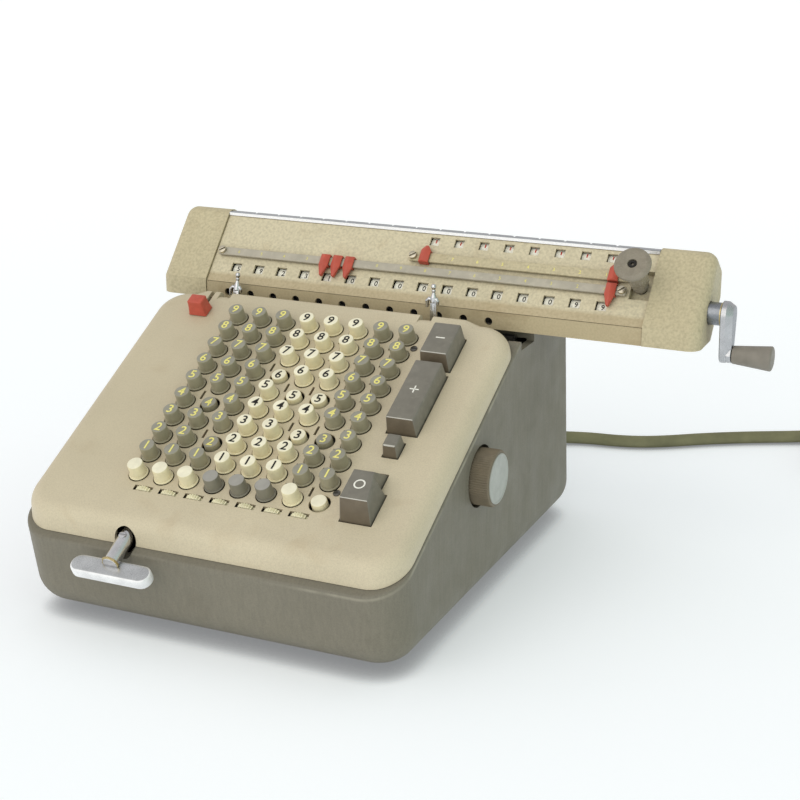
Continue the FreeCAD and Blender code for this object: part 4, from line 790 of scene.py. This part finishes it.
def numeral(text):
    """The mesh of one character, one unit high, centred, with a little thickness."""
    if text not in numerals:
        curve = bpy.data.curves.new("numeral", "FONT")
        curve.body = text
        curve.extrude = 0.02
        curve.offset = 0.008
        curve.resolution_u = 3
        holder = bpy.data.objects.new("numeral", curve)
        mesh = bpy.data.meshes.new_from_object(holder)
        bpy.data.objects.remove(holder)
        bpy.data.curves.remove(curve)
        spots = [vert.co for vert in mesh.vertices]
        left, right = min(s.x for s in spots), max(s.x for s in spots)
        low, high = min(s.y for s in spots), max(s.y for s in spots)
        mesh.transform(Matrix.Translation((-(left + right) / 2, -(low + high) / 2, 0)))
        mesh.transform(Matrix.Diagonal((1 / (high - low), 1 / (high - low), 1, 1)))
        numerals[text] = mesh
    return numerals[text]


def slotted_head(shape, place, radius, height, material=0):
    """A cheese-head screw top: a disc under two half discs with the slot between them."""
    shape.rod(radius, 0, height * 0.55, place, material, steps=28)
    half_slot = radius * 0.17
    start = atan2(half_slot, radius)
    outline = []
    for step in range(13):
        angle = start + (pi - 2 * start) * step / 12
        outline.append((radius * cos(angle), radius * sin(angle)))
    for turn in (0, pi):
        half = place @ Matrix.Rotation(turn, 4, "Z")
        shape.prism([(outline, height * 0.5), (outline, height)], radius * 0.1, half, material, segments=2)


# Keyboard

def key_place(column, row, drop=0.0):
    return Matrix.Translation((first_column_x + column * column_pitch, row * row_pitch, -drop))


def key_finish(column, row):
    """Places of a key's plastic, the copy of it coloured for the key's top as painted light, and its digit
    among the keyboard's finishes.
    """
    dark, ivory, grey = (0, 1, 6), (2, 3, 7), (4, 5, 7)
    if row == 0:
        return grey if column in ivory_columns else ivory
    return ivory if column in ivory_columns else dark


def add_key(shape, column, row, drop=0.0):
    profile = rounded([
        (0, stem_end, 0),
        (key_stem_radius, stem_end, 0),
        (key_stem_radius, 0, 0),
        (key_flange_radius, 0, 0.2),
        (key_flange_radius, key_flange_height, 0.35),
        (key_foot_radius, key_flange_height, 0.05),
        (key_top_radius, key_height, 0.5),
        (0, key_height - 0.2, 0),
    ], steps=3)
    place = key_place(column, row, drop)
    plastic_place, top_shading_place, digit_place = key_finish(column, row)
    # Upward faces on the key's upper half take the top copy of the plastic: painted light, tops coloured
    # apart from sides for how the light falls.
    shape.turned(profile, place, plastic_place, steps=36,
                 accents=[((0, 0, 1), 40, top_shading_place, key_height / 2)])
    if row > 0:
        top = place @ Matrix.Translation((0, 0, key_height - 0.08))
        shape.sign(str(row), key_digit_height, top, digit_place)


def keyboard():
    finishes = (dark_key, dark_top_shading, ivory_key, ivory_top_shading, grey_key, grey_top_shading, yellow_ink, black_ink)
    latched = Shape(plate_frame)
    for row in range(digit_rows + 1):
        free = Shape(plate_frame)
        for column in range(columns):
            if str(row) in latched_rows[column]:
                add_key(latched, column, row, key_travel)
            else:
                add_key(free, column, row)
        node = "keys_row_" + str(row) if row else "clear_keys"
        free.piece(node + "_caps", node, "key_plastic", *finishes, replaces=[node])
    latched.piece("latched_key_caps", "latched_keys", "key_plastic", *finishes, replaces=["latched_keys"])


def key_top(sizes):
    """Left, right, front and back of a function key's top face."""
    left, right, front, back, height, slope = sizes
    width = right - left
    return (left + function_key_left_draw * width, right - function_key_right_draw * width, front + slope,
            back - function_key_back_draw)


def function_key_shape(low, high, height):
    shape = Shape(plate_frame)
    # Faces looking forward take the darker copy, a painted shade; faces looking forward and up, on the
    # rounded front-top edge, take the pale copy, a painted highlight.
    accents = [((0, -1, 0), 24, 2), ((0, -1, 1), 22, 3)]
    shape.prism([(low, -function_key_depth), (low, 0), (high, height)], function_key_edge, accents=accents)
    return shape


def plain_function_key(sizes):
    return function_key_shape(rectangle(*sizes[:4]), rectangle(*key_top(sizes)), sizes[4])


def stepped_function_key(sizes):
    """The right side steps in behind the finger face, and the back slopes down."""
    left, right, front, back, height = sizes[:5]
    top_left, top_right, top_front = key_top(sizes)[:3]
    narrow = right - zero_step_depth
    high_back = back - zero_back_slope
    low = [(left, front), (right, front), (right, zero_step), (narrow, zero_step), (narrow, back),
           (left, back)]
    high = [(top_left, top_front), (top_right, top_front),
            (narrow + zero_step_crease, zero_step - zero_step_crease), (narrow, zero_step),
            (narrow, high_back), (top_left, high_back)]
    return function_key_shape(low, high, height)


def finish_function_key(shape, node):
    shape.piece(node + "_cap", node, "function_key_plastic", function_key, white_ink, front_face_shade,
                edge_highlight_and_wear, replaces=[node])


def add_strokes(shape, sizes, turns):
    """The bars of a minus or a plus sign in the middle of a key's top face."""
    left, right, front, back = key_top(sizes)
    bar = rectangle(-stroke_half_length, stroke_half_length, -stroke_half_width, stroke_half_width)
    middle = Matrix.Translation(((left + right) / 2, (front + back) / 2, sizes[4]))
    for turn in turns:
        shape.prism([(bar, sign_low), (bar, sign_high)], 0, middle @ Matrix.Rotation(turn, 4, "Z"), 1)


def function_keys():
    for node, sizes, turns in (("minus_key", minus_key, (0,)), ("plus_key", plus_key, (0, pi / 2))):
        shape = plain_function_key(sizes)
        add_strokes(shape, sizes, turns)
        finish_function_key(shape, node)
    shape = stepped_function_key(zero_key)
    left, right, front = key_top(zero_key)[:3]
    ring = rectangle(zero_ring_inner, zero_ring_outer, sign_low, sign_high)
    middle = ((left + right) / 2 + zero_ring_shift, front + zero_ring_forward, zero_key[4])
    shape.turned(ring + ring[:1], Matrix.Translation(middle), 1, steps=36)
    finish_function_key(shape, "zero_key")
    finish_function_key(plain_function_key(small_key), "small_key")


def decimal_wheels():
    profile = [
        (0, -wheel_half_width),
        (wheel_radius - wheel_rib_depth, -wheel_half_width),
        (wheel_radius, -wheel_half_width + wheel_chamfer, wheel_rib_depth),
        (wheel_radius, wheel_half_width - wheel_chamfer, wheel_rib_depth),
        (wheel_radius - wheel_rib_depth, wheel_half_width),
        (0, wheel_half_width),
    ]
    for wheel in range(columns - 1):
        node = "decimal_wheel_" + str(wheel + 1)
        x = first_column_x + (wheel + 0.5) * column_pitch
        shape = Shape(plate_frame)
        ribbed = along_y(x, wheel_row, -wheel_depth)
        shape.turned(profile, ribbed, 0, steps=4 * wheel_ribs, ridges=wheel_ribs)
        axis = along_y(x, 0, -wheel_depth)
        # The rod is black where the key slits show it: painted shade.
        shape.rod(rod_radius, rod_front, rod_back, axis, 1, steps=16)
        for mark, first, last in rod_marks:
            if mark == wheel:
                shape.rod(rod_radius + 0.06, first * row_pitch, last * row_pitch, axis, 2, steps=16)
        shape.piece(node + "_ribbed", node, "ivory_plastic", wheel_ivory, shade_black, red_ink,
                    replaces=[node])


# Controls on the housing

def side_knob():
    shape = Shape(body_frame)
    place = along_x(0, *knob_axis)
    rim = [
        (0, knob_shaft_start),
        (knob_shaft_radius, knob_shaft_start),
        (knob_shaft_radius, knob_back),
        (knob_radius - 1.6, knob_back),
        (knob_radius - 0.2, knob_back + 1.1),
        (knob_radius, knob_back + 1.7, 0.5),
        (knob_radius, knob_front - 1.6, 0.5),
        (knob_radius - 0.3, knob_front - 0.6, 0.2),
        (knob_radius - 1.0, knob_front),
        (0, knob_front),
    ]
    shape.turned(rim, place, 0, steps=4 * knob_ridges, ridges=knob_ridges)
    disc = rounded([
        (0, knob_front - 0.8, 0),
        (knob_face_radius, knob_front - 0.8, 0),
        (knob_face_radius, knob_front + 0.6, 0.3),
        (knob_face_radius - 1.0, knob_front + 0.6, 0.1),
        (knob_face_radius - 1.3, knob_front + 0.3, 0.1),
        (0, knob_front + 0.3, 0),
    ])
    shape.turned(disc, place, 1, steps=64)
    shape.piece("side_knob_knurled", "side_knob", "knob_plastic", knob_plastic, knob_face,
                replaces=["side_knob"])


def shift_handle():
    slope = radians(plate_tilt)
    axis = Vector((0, -cos(slope), -sin(slope)))
    up = Vector((0, -sin(slope), cos(slope)))
    shape = Shape(body_frame)
    shaft = along(handle_exit, axis)
    shape.rod(shaft_radius, shaft_inner_end, shaft_outer_end, shaft, 0, 36, (0, 0.6))
    shape.rod(collar_radius, collar_start, collar_end, shaft, 1, 8, (0.2, 0.2))
    screw = along(handle_exit + axis * 0.5 + up * (shaft_radius - 0.6), up)
    slotted_head(shape, screw, *shaft_screw_head)
    shape.piece("handle_shaft_turned", "shift_handle", "bright_metal", chrome, brass,
                replaces=["handle_shaft"])
    bar = Shape(body_frame)
    centre = handle_exit + axis * bar_distance - up * bar_drop
    turn = Matrix.Translation(centre) @ Matrix.Rotation(slope, 4, "X")
    sections = []
    steps = 4
    for side in (-1, 1):
        for step in range(steps + 1):
            angle = pi / 2 * (step if side > 0 else steps - step) / steps
            inset = bar_edge * (1 - cos(angle))
            outline = stadium(bar_half_length - inset, bar_half_width - inset)
            sections.append((outline, side * (bar_half_thickness - bar_edge + bar_edge * sin(angle))))
    # Faces looking up take the greyer metal and the rest the near-white one: painted reflections.
    bar.prism(sections, 0, turn, accents=[((0, 0, 1), 30, 1)])
    bar.piece("handle_bar_cast", "shift_handle", "bright_metal", brushed_bar_reflection, bar_top, replaces=["handle_bar"])


def red_slider():
    shape = Shape(plate_frame)
    for sizes, edge in ((slider_button, slider_edge), (slider_foot, 0), (slider_neck, 0)):
        sections = []
        for width, depth, height in sizes:
            sections.append((block(slider_x, slider_row, width, depth), height))
        shape.prism(sections, edge)
    shape.piece("red_slider_button", "red_slider", "red_plastic", red_plastic, replaces=["red_slider"])


def add_lever(node, x, length, lean):
    turn = Matrix.Translation((x, *lever_pivot)) @ Matrix.Rotation(radians(-lean), 4, "X")
    shape = Shape(body_frame @ turn)
    shape.rod(lever_pin_radius, -lever_pin_reach, lever_pin_reach, along_x(0, 0, 0), 0, 20, (0.3, 0.3))
    blade = block(0, 0, *lever_blade)
    shoulder = block(0, 0, *lever_shoulder)
    shape.prism([(blade, -1.5), (blade, length - 11.0), (shoulder, length - 7.0)], 0.6)
    finger = rounded([(0, length - 12.0, 0), (2.3, length - 12.0, 0.5), (1.9, length - 8.5, 1.0),
                      (1.0, length - 5.2, 0.6), (1.5, length - 4.3, 0.5), (1.0, length - 3.5, 0.4),
                      (1.8, length - 1.9, 0.9), (1.2, length, 0.7), (0, length, 0)])
    shape.turned(finger, steps=24)
    for side, reach, low in lever_horns:
        bends = ((0.2, -10.0), (0.7, -9.6), (1.0, -11.0), (1.02, low))
        spots = [Vector((side * share * reach, 0, length + rise)) for share, rise in bends]
        shape.tube(spots, lever_horn_radii)
    shape.piece(node + "_forged", node, "bright_metal", chrome, replaces=[node])


def levers():
    for node, (x, length, lean) in lever_places.items():
        add_lever(node, x, length, lean)


def housing_screws():
    shape = Shape(body_frame)
    flip = Matrix.Rotation(pi, 4, "X")
    for x, y, seat in foot_screws + bottom_screws:
        place = Matrix.Translation((x, y, seat))
        slotted_head(shape, place @ flip, *bottom_screw_head)
        shape.rod(bottom_screw_radius, 0, bottom_screw_top - seat, place)
    on_plate = body_frame.inverted() @ plate_frame
    for x, row in cover_screws:
        place = on_plate @ Matrix.Translation((x, row, 0))
        slotted_head(shape, place, *cover_screw_head)
        shape.rod(cover_screw_radius, -cover_screw_depth, 0, place)
    shape.piece("slotted_screws", "chassis", "plain_steel", plain_steel, replaces=["housing_screws"])


def edge_section(radius, proud):
    """The cover's back edge cut across: the top face, a rounding of some radius, and the back face."""
    back = cover_back + proud
    inner = cover_back - cover_edge_radius
    points = [(inner, proud)]
    for step in range(7):
        angle = pi / 2 * step / 6
        points.append((back - radius + radius * sin(angle), proud - radius + radius * cos(angle)))
    points.append((back, -cover_edge_radius - 0.1))
    sunk = cover_edge_radius - 1.0
    for angle in (pi / 2, pi / 4, 0):
        points.append((inner + sunk * sin(angle), -cover_edge_radius + sunk * cos(angle)))
    return points


def cover_back_rim():
    """The narrow rounding along the cover's back, broken at the slider and the levers, fading out at
    the corners."""
    full = edge_section(cover_back_edge_radius, 0.03)
    faded = edge_section(cover_edge_radius, -0.2)
    left_x = lever_places["left_lever"][0]
    right_x = lever_places["right_lever"][0]
    runs = [
        [(faded, rim_left_end), (full, rim_left_full), (full, slider_x - slider_slot_half_width)],
        [(full, slider_x + slider_slot_half_width), (full, left_x - lever_notch_half_width)],
        [(full, left_x + lever_notch_half_width), (full, right_x - lever_notch_half_width)],
        [(full, right_x + lever_notch_half_width), (full, rim_right_full), (faded, rim_right_end)],
    ]
    shape = Shape(plate_frame)
    across = Matrix(((0, 0, 1, 0), (1, 0, 0, 0), (0, 1, 0, 0), (0, 0, 0, 1)))
    for sections in runs:
        shape.prism(sections, 0, across)
    shape.piece("cover_back_rim", "chassis", "cover_paint", cover_paint)


def key_collars():
    """The turned-in rims of the key holes."""
    shape = Shape(plate_frame)
    outer = key_hole_radius + 0.05
    rim = rounded([
        (outer, key_rim_proud, 0),
        (key_collar_radius, key_rim_proud, 0.3),
        (key_collar_radius, -key_rim_depth, 0),
        (outer, -key_rim_depth, 0),
        (outer, key_rim_proud, 0),
    ])
    for row in range(digit_rows + 1):
        for column in range(columns):
            shape.turned(rim, key_place(column, row), steps=36)
    shape.piece("key_hole_rims", "chassis", "cover_paint", cover_paint)


# Carriage

def add_dials(shape, first_x, row, shown, digits, shift, finish_places):
    """A row of number drums with cards and digits on one black core that stands in for the shade between
    them, each turned to the digit it shows.
    """
    ink_place, card_place, shade_core_place = finish_places
    axis = along_x(0, row, -dial_axis_depth)
    last_x = first_x + (len(shown) - 1) * column_pitch
    # The black core fills the gaps between the drums: painted shade.
    shape.rod(dial_core_radius, first_x - dial_width, last_x + dial_width, axis, shade_core_place, 48)
    for dial, front_digit in enumerate(shown):
        x = first_x + dial * column_pitch
        edges = (dial_edge, dial_edge)
        shape.rod(dial_radius, x - dial_width / 2, x + dial_width / 2, axis, card_place, 60, edges)
        for digit in digits:
            turn = Matrix.Rotation(2 * pi * (int(front_digit) - digit) / 10, 4, "X")
            lifted = Matrix.Translation((*shift, dial_radius + dial_digit_lift))
            place = Matrix.Translation((x, row, -dial_axis_depth)) @ turn @ lifted
            shape.sign(str(digit), dial_digit_height, place, ink_place)


def result_digits():
    shape = Shape(face_frame)
    add_dials(shape, first_result_x, result_row, shown_result, range(10), result_digit_shift, (0, 1, 2))
    shape.piece("result_digits", "result_dials", "ivory_plastic", black_ink, dial_card, shade_black,
                replaces=["result_dials"])


def counter_digits():
    """The counter's drums, which show a red stroke over a black notch instead of a zero."""
    shape = Shape(face_frame)
    shown = "0" * counter_dials
    add_dials(shape, first_counter_x, counter_row, shown, range(1, 10), counter_digit_shift, (1, 2, 3))
    stroke = rectangle(*counter_stroke)
    for dial in range(counter_dials):
        x = first_counter_x + dial * column_pitch
        top = Matrix.Translation((x, counter_row, dial_radius - dial_axis_depth))
        shape.prism([(stroke, -0.4), (stroke, counter_mark_proud)], 0, top, 0)
        shape.prism([(counter_notch, -1.0), (counter_notch, counter_mark_proud)], 0, top, 1)
    shape.piece("counter_digits", "counter_dials", "ivory_plastic", red_ink, black_ink, dial_card,
                shade_black, replaces=["counter_dials"])


def add_rail(node, sizes, first_x, count, finish, number_ink):
    left, right, row, width = sizes
    shape = Shape(face_frame)
    outline = rectangle(left, right, row - width / 2, row + width / 2)
    shape.prism([(outline, rail_low), (outline, rail_high)], rail_edge)
    for x in (left + rail_screw_inset, right - rail_screw_inset):
        shape.rod(rail_screw_radius, 0, rail_low + 0.1, Matrix.Translation((x, row, 0)), 2)
        head = Matrix.Translation((x, row, rail_high)) @ Matrix.Rotation(rail_screw_turn, 4, "Z")
        slotted_head(shape, head, *rail_screw_head, 2)
    for place in range(count):
        x = first_x + place * column_pitch
        spot = Matrix.Translation((x, row, rail_high + 0.01))
        shape.sign(str((count - place) % 10), rail_number_height, spot, 1)
    shape.piece(node + "_numbered", "carriage", "bright_metal", finish, number_ink, plated, replaces=[node])


def add_marker(shape, x, row, rail_width, pointer):
    """A faceted slider on a rail; its pointer runs up the face, or down it when negative."""
    direction = 1 if pointer > 0 else -1
    half = rail_width / 2 + slide_gap + marker_wall
    tip = half + abs(pointer)
    low = rail_high + slide_gap
    shoulder = 4.4
    side = marker_half_width

    def at(across, forward, height):
        return Vector((x + across, row + direction * forward, height))

    plan = [(-side, -half), (side, -half), (side, half), (marker_tip_half, tip), (-marker_tip_half, tip),
            (-side, half)]
    corners = [at(a, f, low if f <= half else rail_low) for a, f in plan]
    corners += [at(a, f, shoulder if f <= half else marker_tip_top - 0.5) for a, f in plan]
    corners += [at(0, 0.9 - half, marker_top), at(0, half - 0.4, marker_top)]
    faces = [(i, (i + 1) % 6, 6 + (i + 1) % 6, 6 + i) for i in range(6)]
    faces += [(0, 1, 2, 5), (2, 3, 4, 5), (6, 7, 12), (7, 8, 13, 12), (8, 9, 13), (9, 10, 13), (10, 11, 13),
              (11, 6, 12, 13)]
    shape.facets(corners, faces, 0.25)
    for start in (-half, half - marker_wall):
        ends = (row + direction * start, row + direction * (start + marker_wall))
        wall = rectangle(x - side, x + side, *ends)
        shape.prism([(wall, slide_gap), (wall, low + 0.3)])


def markers():
    groups = [
        ("lower_markers", lower_marker_places, lower_rail, -lower_pointer),
        ("lower_right_marker", [lower_right_marker_x], lower_rail, -lower_pointer),
        ("upper_left_marker", [upper_left_marker_x], upper_rail, upper_pointer),
        ("upper_right_marker", [upper_right_marker_x], upper_rail, upper_pointer),
    ]
    for node, places, rail, pointer in groups:
        shape = Shape(face_frame)
        for x in places:
            add_marker(shape, x, rail[2], rail[3], pointer)
        shape.piece(node + "_faceted", node, "red_plastic", red_plastic, replaces=[node])


def release_knob():
    shape = Shape(face_frame)
    place = Matrix.Translation((*release_place, 0))
    head_low = release_top - release_head_height
    disc = rounded([
        (0, head_low - 0.5, 0),
        (6.0, head_low - 0.5, 0.4),
        (release_radius - 1.6, head_low + 0.2, 1.0),
        (release_radius, head_low + 1.8, 1.2),
        (release_radius - 0.5, release_top - 1.0, 1.2),
        (release_radius - 2.6, release_top, 1.5),
        (3.0, release_top - 0.2, 0.2),
        (2.7, release_top - 2.0, 0.1),
        (0, release_top - 2.0, 0),
    ], steps=5)
    shape.turned(disc, place, 0, steps=72)
    stem_place = place @ Matrix.Rotation(radians(release_stem_turn), 4, "Z")
    shape.rod(release_stem_radius, release_stem_start, head_low - 0.2, stem_place, 0, 6, (0.4, 0))
    shape.turned(release_guide, place, 0, steps=32)
    plug = rounded([(0, release_top - 2.2, 0), (2.6, release_top - 2.2, 0), (2.6, release_top - 0.7, 0.2),
                    (1.2, release_top - 0.7, 0.2), (0.9, release_top - 1.6, 0)])
    # The knob's socket is a black solid: painted shade.
    shape.turned(plug, place, 1, steps=6)
    shape.piece("release_knob_turned", "release_knob", "knob_plastic", release_grey, shade_black,
                replaces=["release_knob"])


def crank_outline(inset):
    """The arm seen along its axis: a wide hub above, a narrow end below, both with flat facets."""
    y, height = crank_axis
    low = height - crank_throw
    outline = []
    ends = ((height, crank_hub_radius - inset, 0), (low, crank_end_radius - inset, pi))
    for middle, radius, start in ends:
        for step in range(7):
            angle = start + pi * step / 6
            outline.append((-(middle + radius * sin(angle)), y + radius * cos(angle)))
    return outline


def clearing_crank():
    y, height = crank_axis
    low = height - crank_throw
    start, end = crank_arm_x
    hub = along_x(0, y, height)
    grip_end = along_x(0, y, low)
    shape = Shape(body_frame)
    boss = [
        (0, crank_shaft_start),
        (crank_shaft_radius, crank_shaft_start),
        (crank_shaft_radius, crank_boss_start),
        (crank_boss_radius, crank_boss_start),
        (crank_boss_radius, start + 0.1),
        (0, start + 0.1),
    ]
    shape.turned(boss, hub, 3)
    shape.rod(crank_boss_radius + 0.15, start - 0.8, start, hub, 2)
    arm = [(crank_outline(0.5), start), (crank_outline(0), start + 0.5), (crank_outline(0), start + 3.4),
           (crank_outline(2.6), end)]
    # The arm's face toward +X takes the darker metal: a painted dark reflection.
    shape.prism(arm, 0, Matrix.Rotation(pi / 2, 4, "Y"), accents=[((0, 0, 1), 20, 3)])
    shape.rod(crank_end_radius - 0.2, end - 3.0, end, grip_end, 0, 8, (0, 0.6))
    shape.rod(grip_pin_radius, end - 1.0, grip_pin_end, grip_end, 0, 24)
    shape.piece("crank_arm_cast", "clearing_crank", "bright_metal", cast_metal, chrome, brass,
                arm_metal, replaces=["crank_arm"])
    grip = Shape(body_frame)
    start, end = grip_x
    profile = rounded([(2.6, start, 0), (5.5, start, 0.5), (7.7, end - 0.6, 1.0), (6.2, end, 0.3),
                       (0, end, 0)])
    grip.turned(profile, grip_end)
    grip.piece("crank_grip_turned", "crank_grip", "knob_plastic", grip_plastic, replaces=["crank_grip"])


# Mains lead

def coil_radii():
    radii = [coil_outer_radius - k * coil_step / 2 for k in range(coil_half_turns_in)]
    radii.append(radii[-1] - coil_step / 2 - coil_inner_draw)
    radii.append(radii[-1] - coil_climb_draw)
    radii.append(radii[-1] + coil_climb_step)
    for k in range(coil_half_turns_out):
        radii.append(radii[-1] + coil_step / 2)
    return radii


def coil_points():
    """The turns of the coil, then its straight tail; also the tail's end and direction."""
    end = Vector(cord_route[-1])
    heading = end - Vector(cord_route[-2])
    heading.z = 0
    heading.normalize()
    right = Vector((heading.y, -heading.x, 0))
    centre = end + heading * 2 * cord_radius + right * coil_outer_radius
    radii = coil_radii()
    steps = coil_points_per_half_turn
    spread = 1 / cos(pi / (2 * steps))
    points = []
    for k in range(len(radii) - 1):
        for step in range(steps):
            share = step / steps
            angle = pi * (k + share)
            radius = (radii[k] + (radii[k + 1] - radii[k]) * share) * spread
            ease = share * share * (3 - 2 * share)
            climb = ease if k == coil_half_turns_in else float(k > coil_half_turns_in)
            arm = heading * sin(angle) - right * cos(angle)
            points.append(centre + arm * radius + Vector((0, 0, coil_layer_height * climb)))
    finish = centre - right * radii[-1] + Vector((0, 0, coil_layer_height))
    points.append(finish)
    points.append(finish + heading * coil_tail)
    return points, points[-1], heading


def plug(tip, heading):
    shape = Shape(body_frame)
    shape.turned(rounded(plug_shell), along(tip, heading), 0, steps=48)
    for side in (-1, 1):
        across = Vector((heading.y, -heading.x, 0)) * side * plug_pin_spacing / 2
        pin_place = along(tip + across, heading)
        shape.rod(plug_pin_radius, plug_pin_start, plug_pin_end, pin_place, 1, 24, (0, 1.6))
    return shape.piece("mains_plug", "chassis", "plug_plastic", plug_plastic, brass,
                       replaces=["power_plug"])


def strain_relief():
    shape = Shape(body_frame)
    inner, flange, back = gland_back_y - 18.0, gland_back_y - 11.0, gland_back_y
    x, tip, height = cord_route[0]
    flange_end = flange + gland_flange_thickness
    ribs = [
        (0, inner, 0),
        (gland_radius, inner, 0),
        (gland_radius, flange, 0),
        (gland_flange_radius, flange, 0),
        (gland_flange_radius, flange_end, 0),
        (gland_radius, flange_end, 0),
        (gland_radius, back, 0),
    ]
    for rib in range(gland_ribs):
        start = back + 0.8 + rib * gland_rib_pitch
        radius = gland_radius - gland_taper * (start - back)
        groove = radius - gland_rib_depth
        ribs += [(radius, start, 0.3), (radius, start + 2.4, 0.3), (groove, start + 2.8, 0.2),
                 (groove, start + 4.2, 0.2)]
    ribs += [(6.2, tip - 0.4, 0.3), (6.0, tip, 0), (0, tip, 0)]
    shape.turned(rounded(ribs, steps=2), along_y(x, 0, height), 0, steps=36)
    shape.piece("strain_relief", "chassis", "cord_rubber", foot_rubber, replaces=["cord_gland"])


def mains_lead():
    turns, tip, heading = coil_points()
    points = [Vector(point) for point in cord_route] + turns
    curve = bpy.data.curves.new("mains_lead", "CURVE")
    curve.dimensions = "3D"
    spline = curve.splines.new("NURBS")
    spline.points.add(len(points) - 1)
    for knot, point in zip(spline.points, points):
        knot.co = (*(point * millimetre), 1.0)
    spline.order_u = 3
    spline.use_endpoint_u = True
    curve.bevel_depth = cord_radius * millimetre
    curve.bevel_resolution = 5
    curve.resolution_u = 5
    curve.use_fill_caps = True
    curve.materials.append(cord_rubber)
    lead = add_object("mains_lead", curve)
    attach(lead, "chassis")
    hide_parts("power_cord", "cord_coil")
    end_piece = plug(tip, heading)


# Finishes of the solids that keep their own shape

def dress_solids():
    finishes = {
        base_paint: ["base_housing", "bottom_plate"],
        cover_paint: ["top_cover"],
        carriage_paint: ["left_end_cap", "right_end_cap"],
        face_paint: ["carriage_face"],
        apron_paint: ["carriage_apron"],
        bar_metal: ["top_bar"],
        foot_rubber: ["rubber_feet"],
        tie_cloth: ["coil_tie"],
        plain_steel: ["inner_frame", "key_guide_plate", "carriage_guides", "drive_rotor", "motor",
                      "carriage_frame"],
    }
    for finish, nodes in finishes.items():
        for node in nodes:
            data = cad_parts[node].data
            data.materials.clear()
            data.materials.append(finish)


# Stage

def stage_floor():
    data = bpy.data.meshes.new("floor")
    corners = [(x, y, 0) for x, y in rectangle(-floor_reach, floor_reach, -floor_reach, floor_reach)]
    data.from_pydata(corners, [], [(0, 1, 2, 3)])
    glow = {"Emission Strength": floor_glow, "Emission Color": (0.94, 0.97, 1.0, 1.0)}
    finish = Finish("floor", {"Roughness": 0.6, "Specular IOR Level": 0.1, **glow})
    clouds = finish.noise(400.0, detail=2.0)
    near = finish.ramp(clouds, (0.3, shade(242, 246, 249)), (0.7, shade(245, 248, 251)))
    # The floor pales to white with distance along the view, a painted gradient of light; close under the
    # machine it darkens, a painted contact shadow.
    distance = finish.measure(Vector((-0.41, 0.91, 0)))
    tone = finish.mix(finish.share(distance, 300, 1500), near, shade(252, 252, 252))
    painted_contact_shadow = finish.ramp(finish.openness(15.0), (0.42, 0.8), (0.86, 0.0))
    finish.feed("Base Color", finish.mix(painted_contact_shadow, tone, shade(70, 66, 68)))
    data.materials.append(finish.material)
    add_object("floor", data)


def soft_sun(name, azimuth, elevation, strength, spread, colour):
    lamp = bpy.data.lights.new(name, "SUN")
    lamp.energy = strength
    lamp.angle = radians(spread)
    lamp.color = colour
    add_object(name, lamp).rotation_euler = (radians(90 - elevation), 0, radians(azimuth))


def sky_fade(tree, direction, towards, near_colour, far_colour):
    """A colour that fades from one side of the sky to the other."""
    dot = add_node(tree, "ShaderNodeVectorMath", {0: direction, 1: Vector(towards).normalized()},
                   operation="DOT_PRODUCT")
    fade = add_node(tree, "ShaderNodeValToRGB", {"Fac": dot.outputs["Value"]})
    fade.color_ramp.elements[0].color = near_colour
    fade.color_ramp.elements[1].position = 0.85
    fade.color_ramp.elements[1].color = far_colour
    return fade.outputs["Color"]


def lights():
    world = bpy.data.worlds.new("studio")
    scene.world = world
    world.use_nodes = True
    tree = world.node_tree
    direction = add_node(tree, "ShaderNodeTexCoord", {}).outputs["Generated"]
    to_right = sky_fade(tree, direction, (1.0, -0.1, -0.25), (1.0, 0.99, 0.97, 1.0), (0.7, 0.87, 0.77, 1.0))
    to_zenith = sky_fade(tree, direction, (0.0, 0.5, 0.85), (1.0, 1.0, 1.0, 1.0), (0.72, 0.72, 0.74, 1.0))
    both = add_node(tree, "ShaderNodeMix", {0: 1.0, 6: to_right, 7: to_zenith}, data_type="RGBA",
                    blend_type="MULTIPLY")
    sky = tree.nodes["Background"]
    tree.links.new(both.outputs[2], sky.inputs["Color"])
    sky.inputs["Strength"].default_value = sky_strength
    soft_sun("overhead", 0, 85, 0.12, 140, (0.98, 1.0, 1.0))
    soft_sun("front_left", -10, 35, 0.7, 60, (1.0, 0.96, 0.9))


def camera():
    data = bpy.data.cameras.new("camera")
    data.sensor_width = camera_sensor
    data.lens = camera_lens
    data.clip_start = 0.05
    data.clip_end = 50.0
    holder = add_object("camera", data)
    holder.location = camera_place * millimetre
    holder.rotation_euler = (radians(90 - camera_pitch), 0, radians(camera_yaw))
    scene.camera = holder


scene.view_settings.view_transform = "Standard"
camera()
stage_floor()
lights()
mains_lead()
strain_relief()
dress_solids()
keyboard()
function_keys()
decimal_wheels()
side_knob()
shift_handle()
red_slider()
levers()
housing_screws()
cover_back_rim()
key_collars()
result_digits()
counter_digits()
add_rail("lower_rail", lower_rail, first_result_x, result_dials, rail_grey, faint_ink)
add_rail("upper_rail", upper_rail, first_counter_x, counter_dials, carriage_paint, yellow_ink)
markers()
release_knob()
clearing_crank()
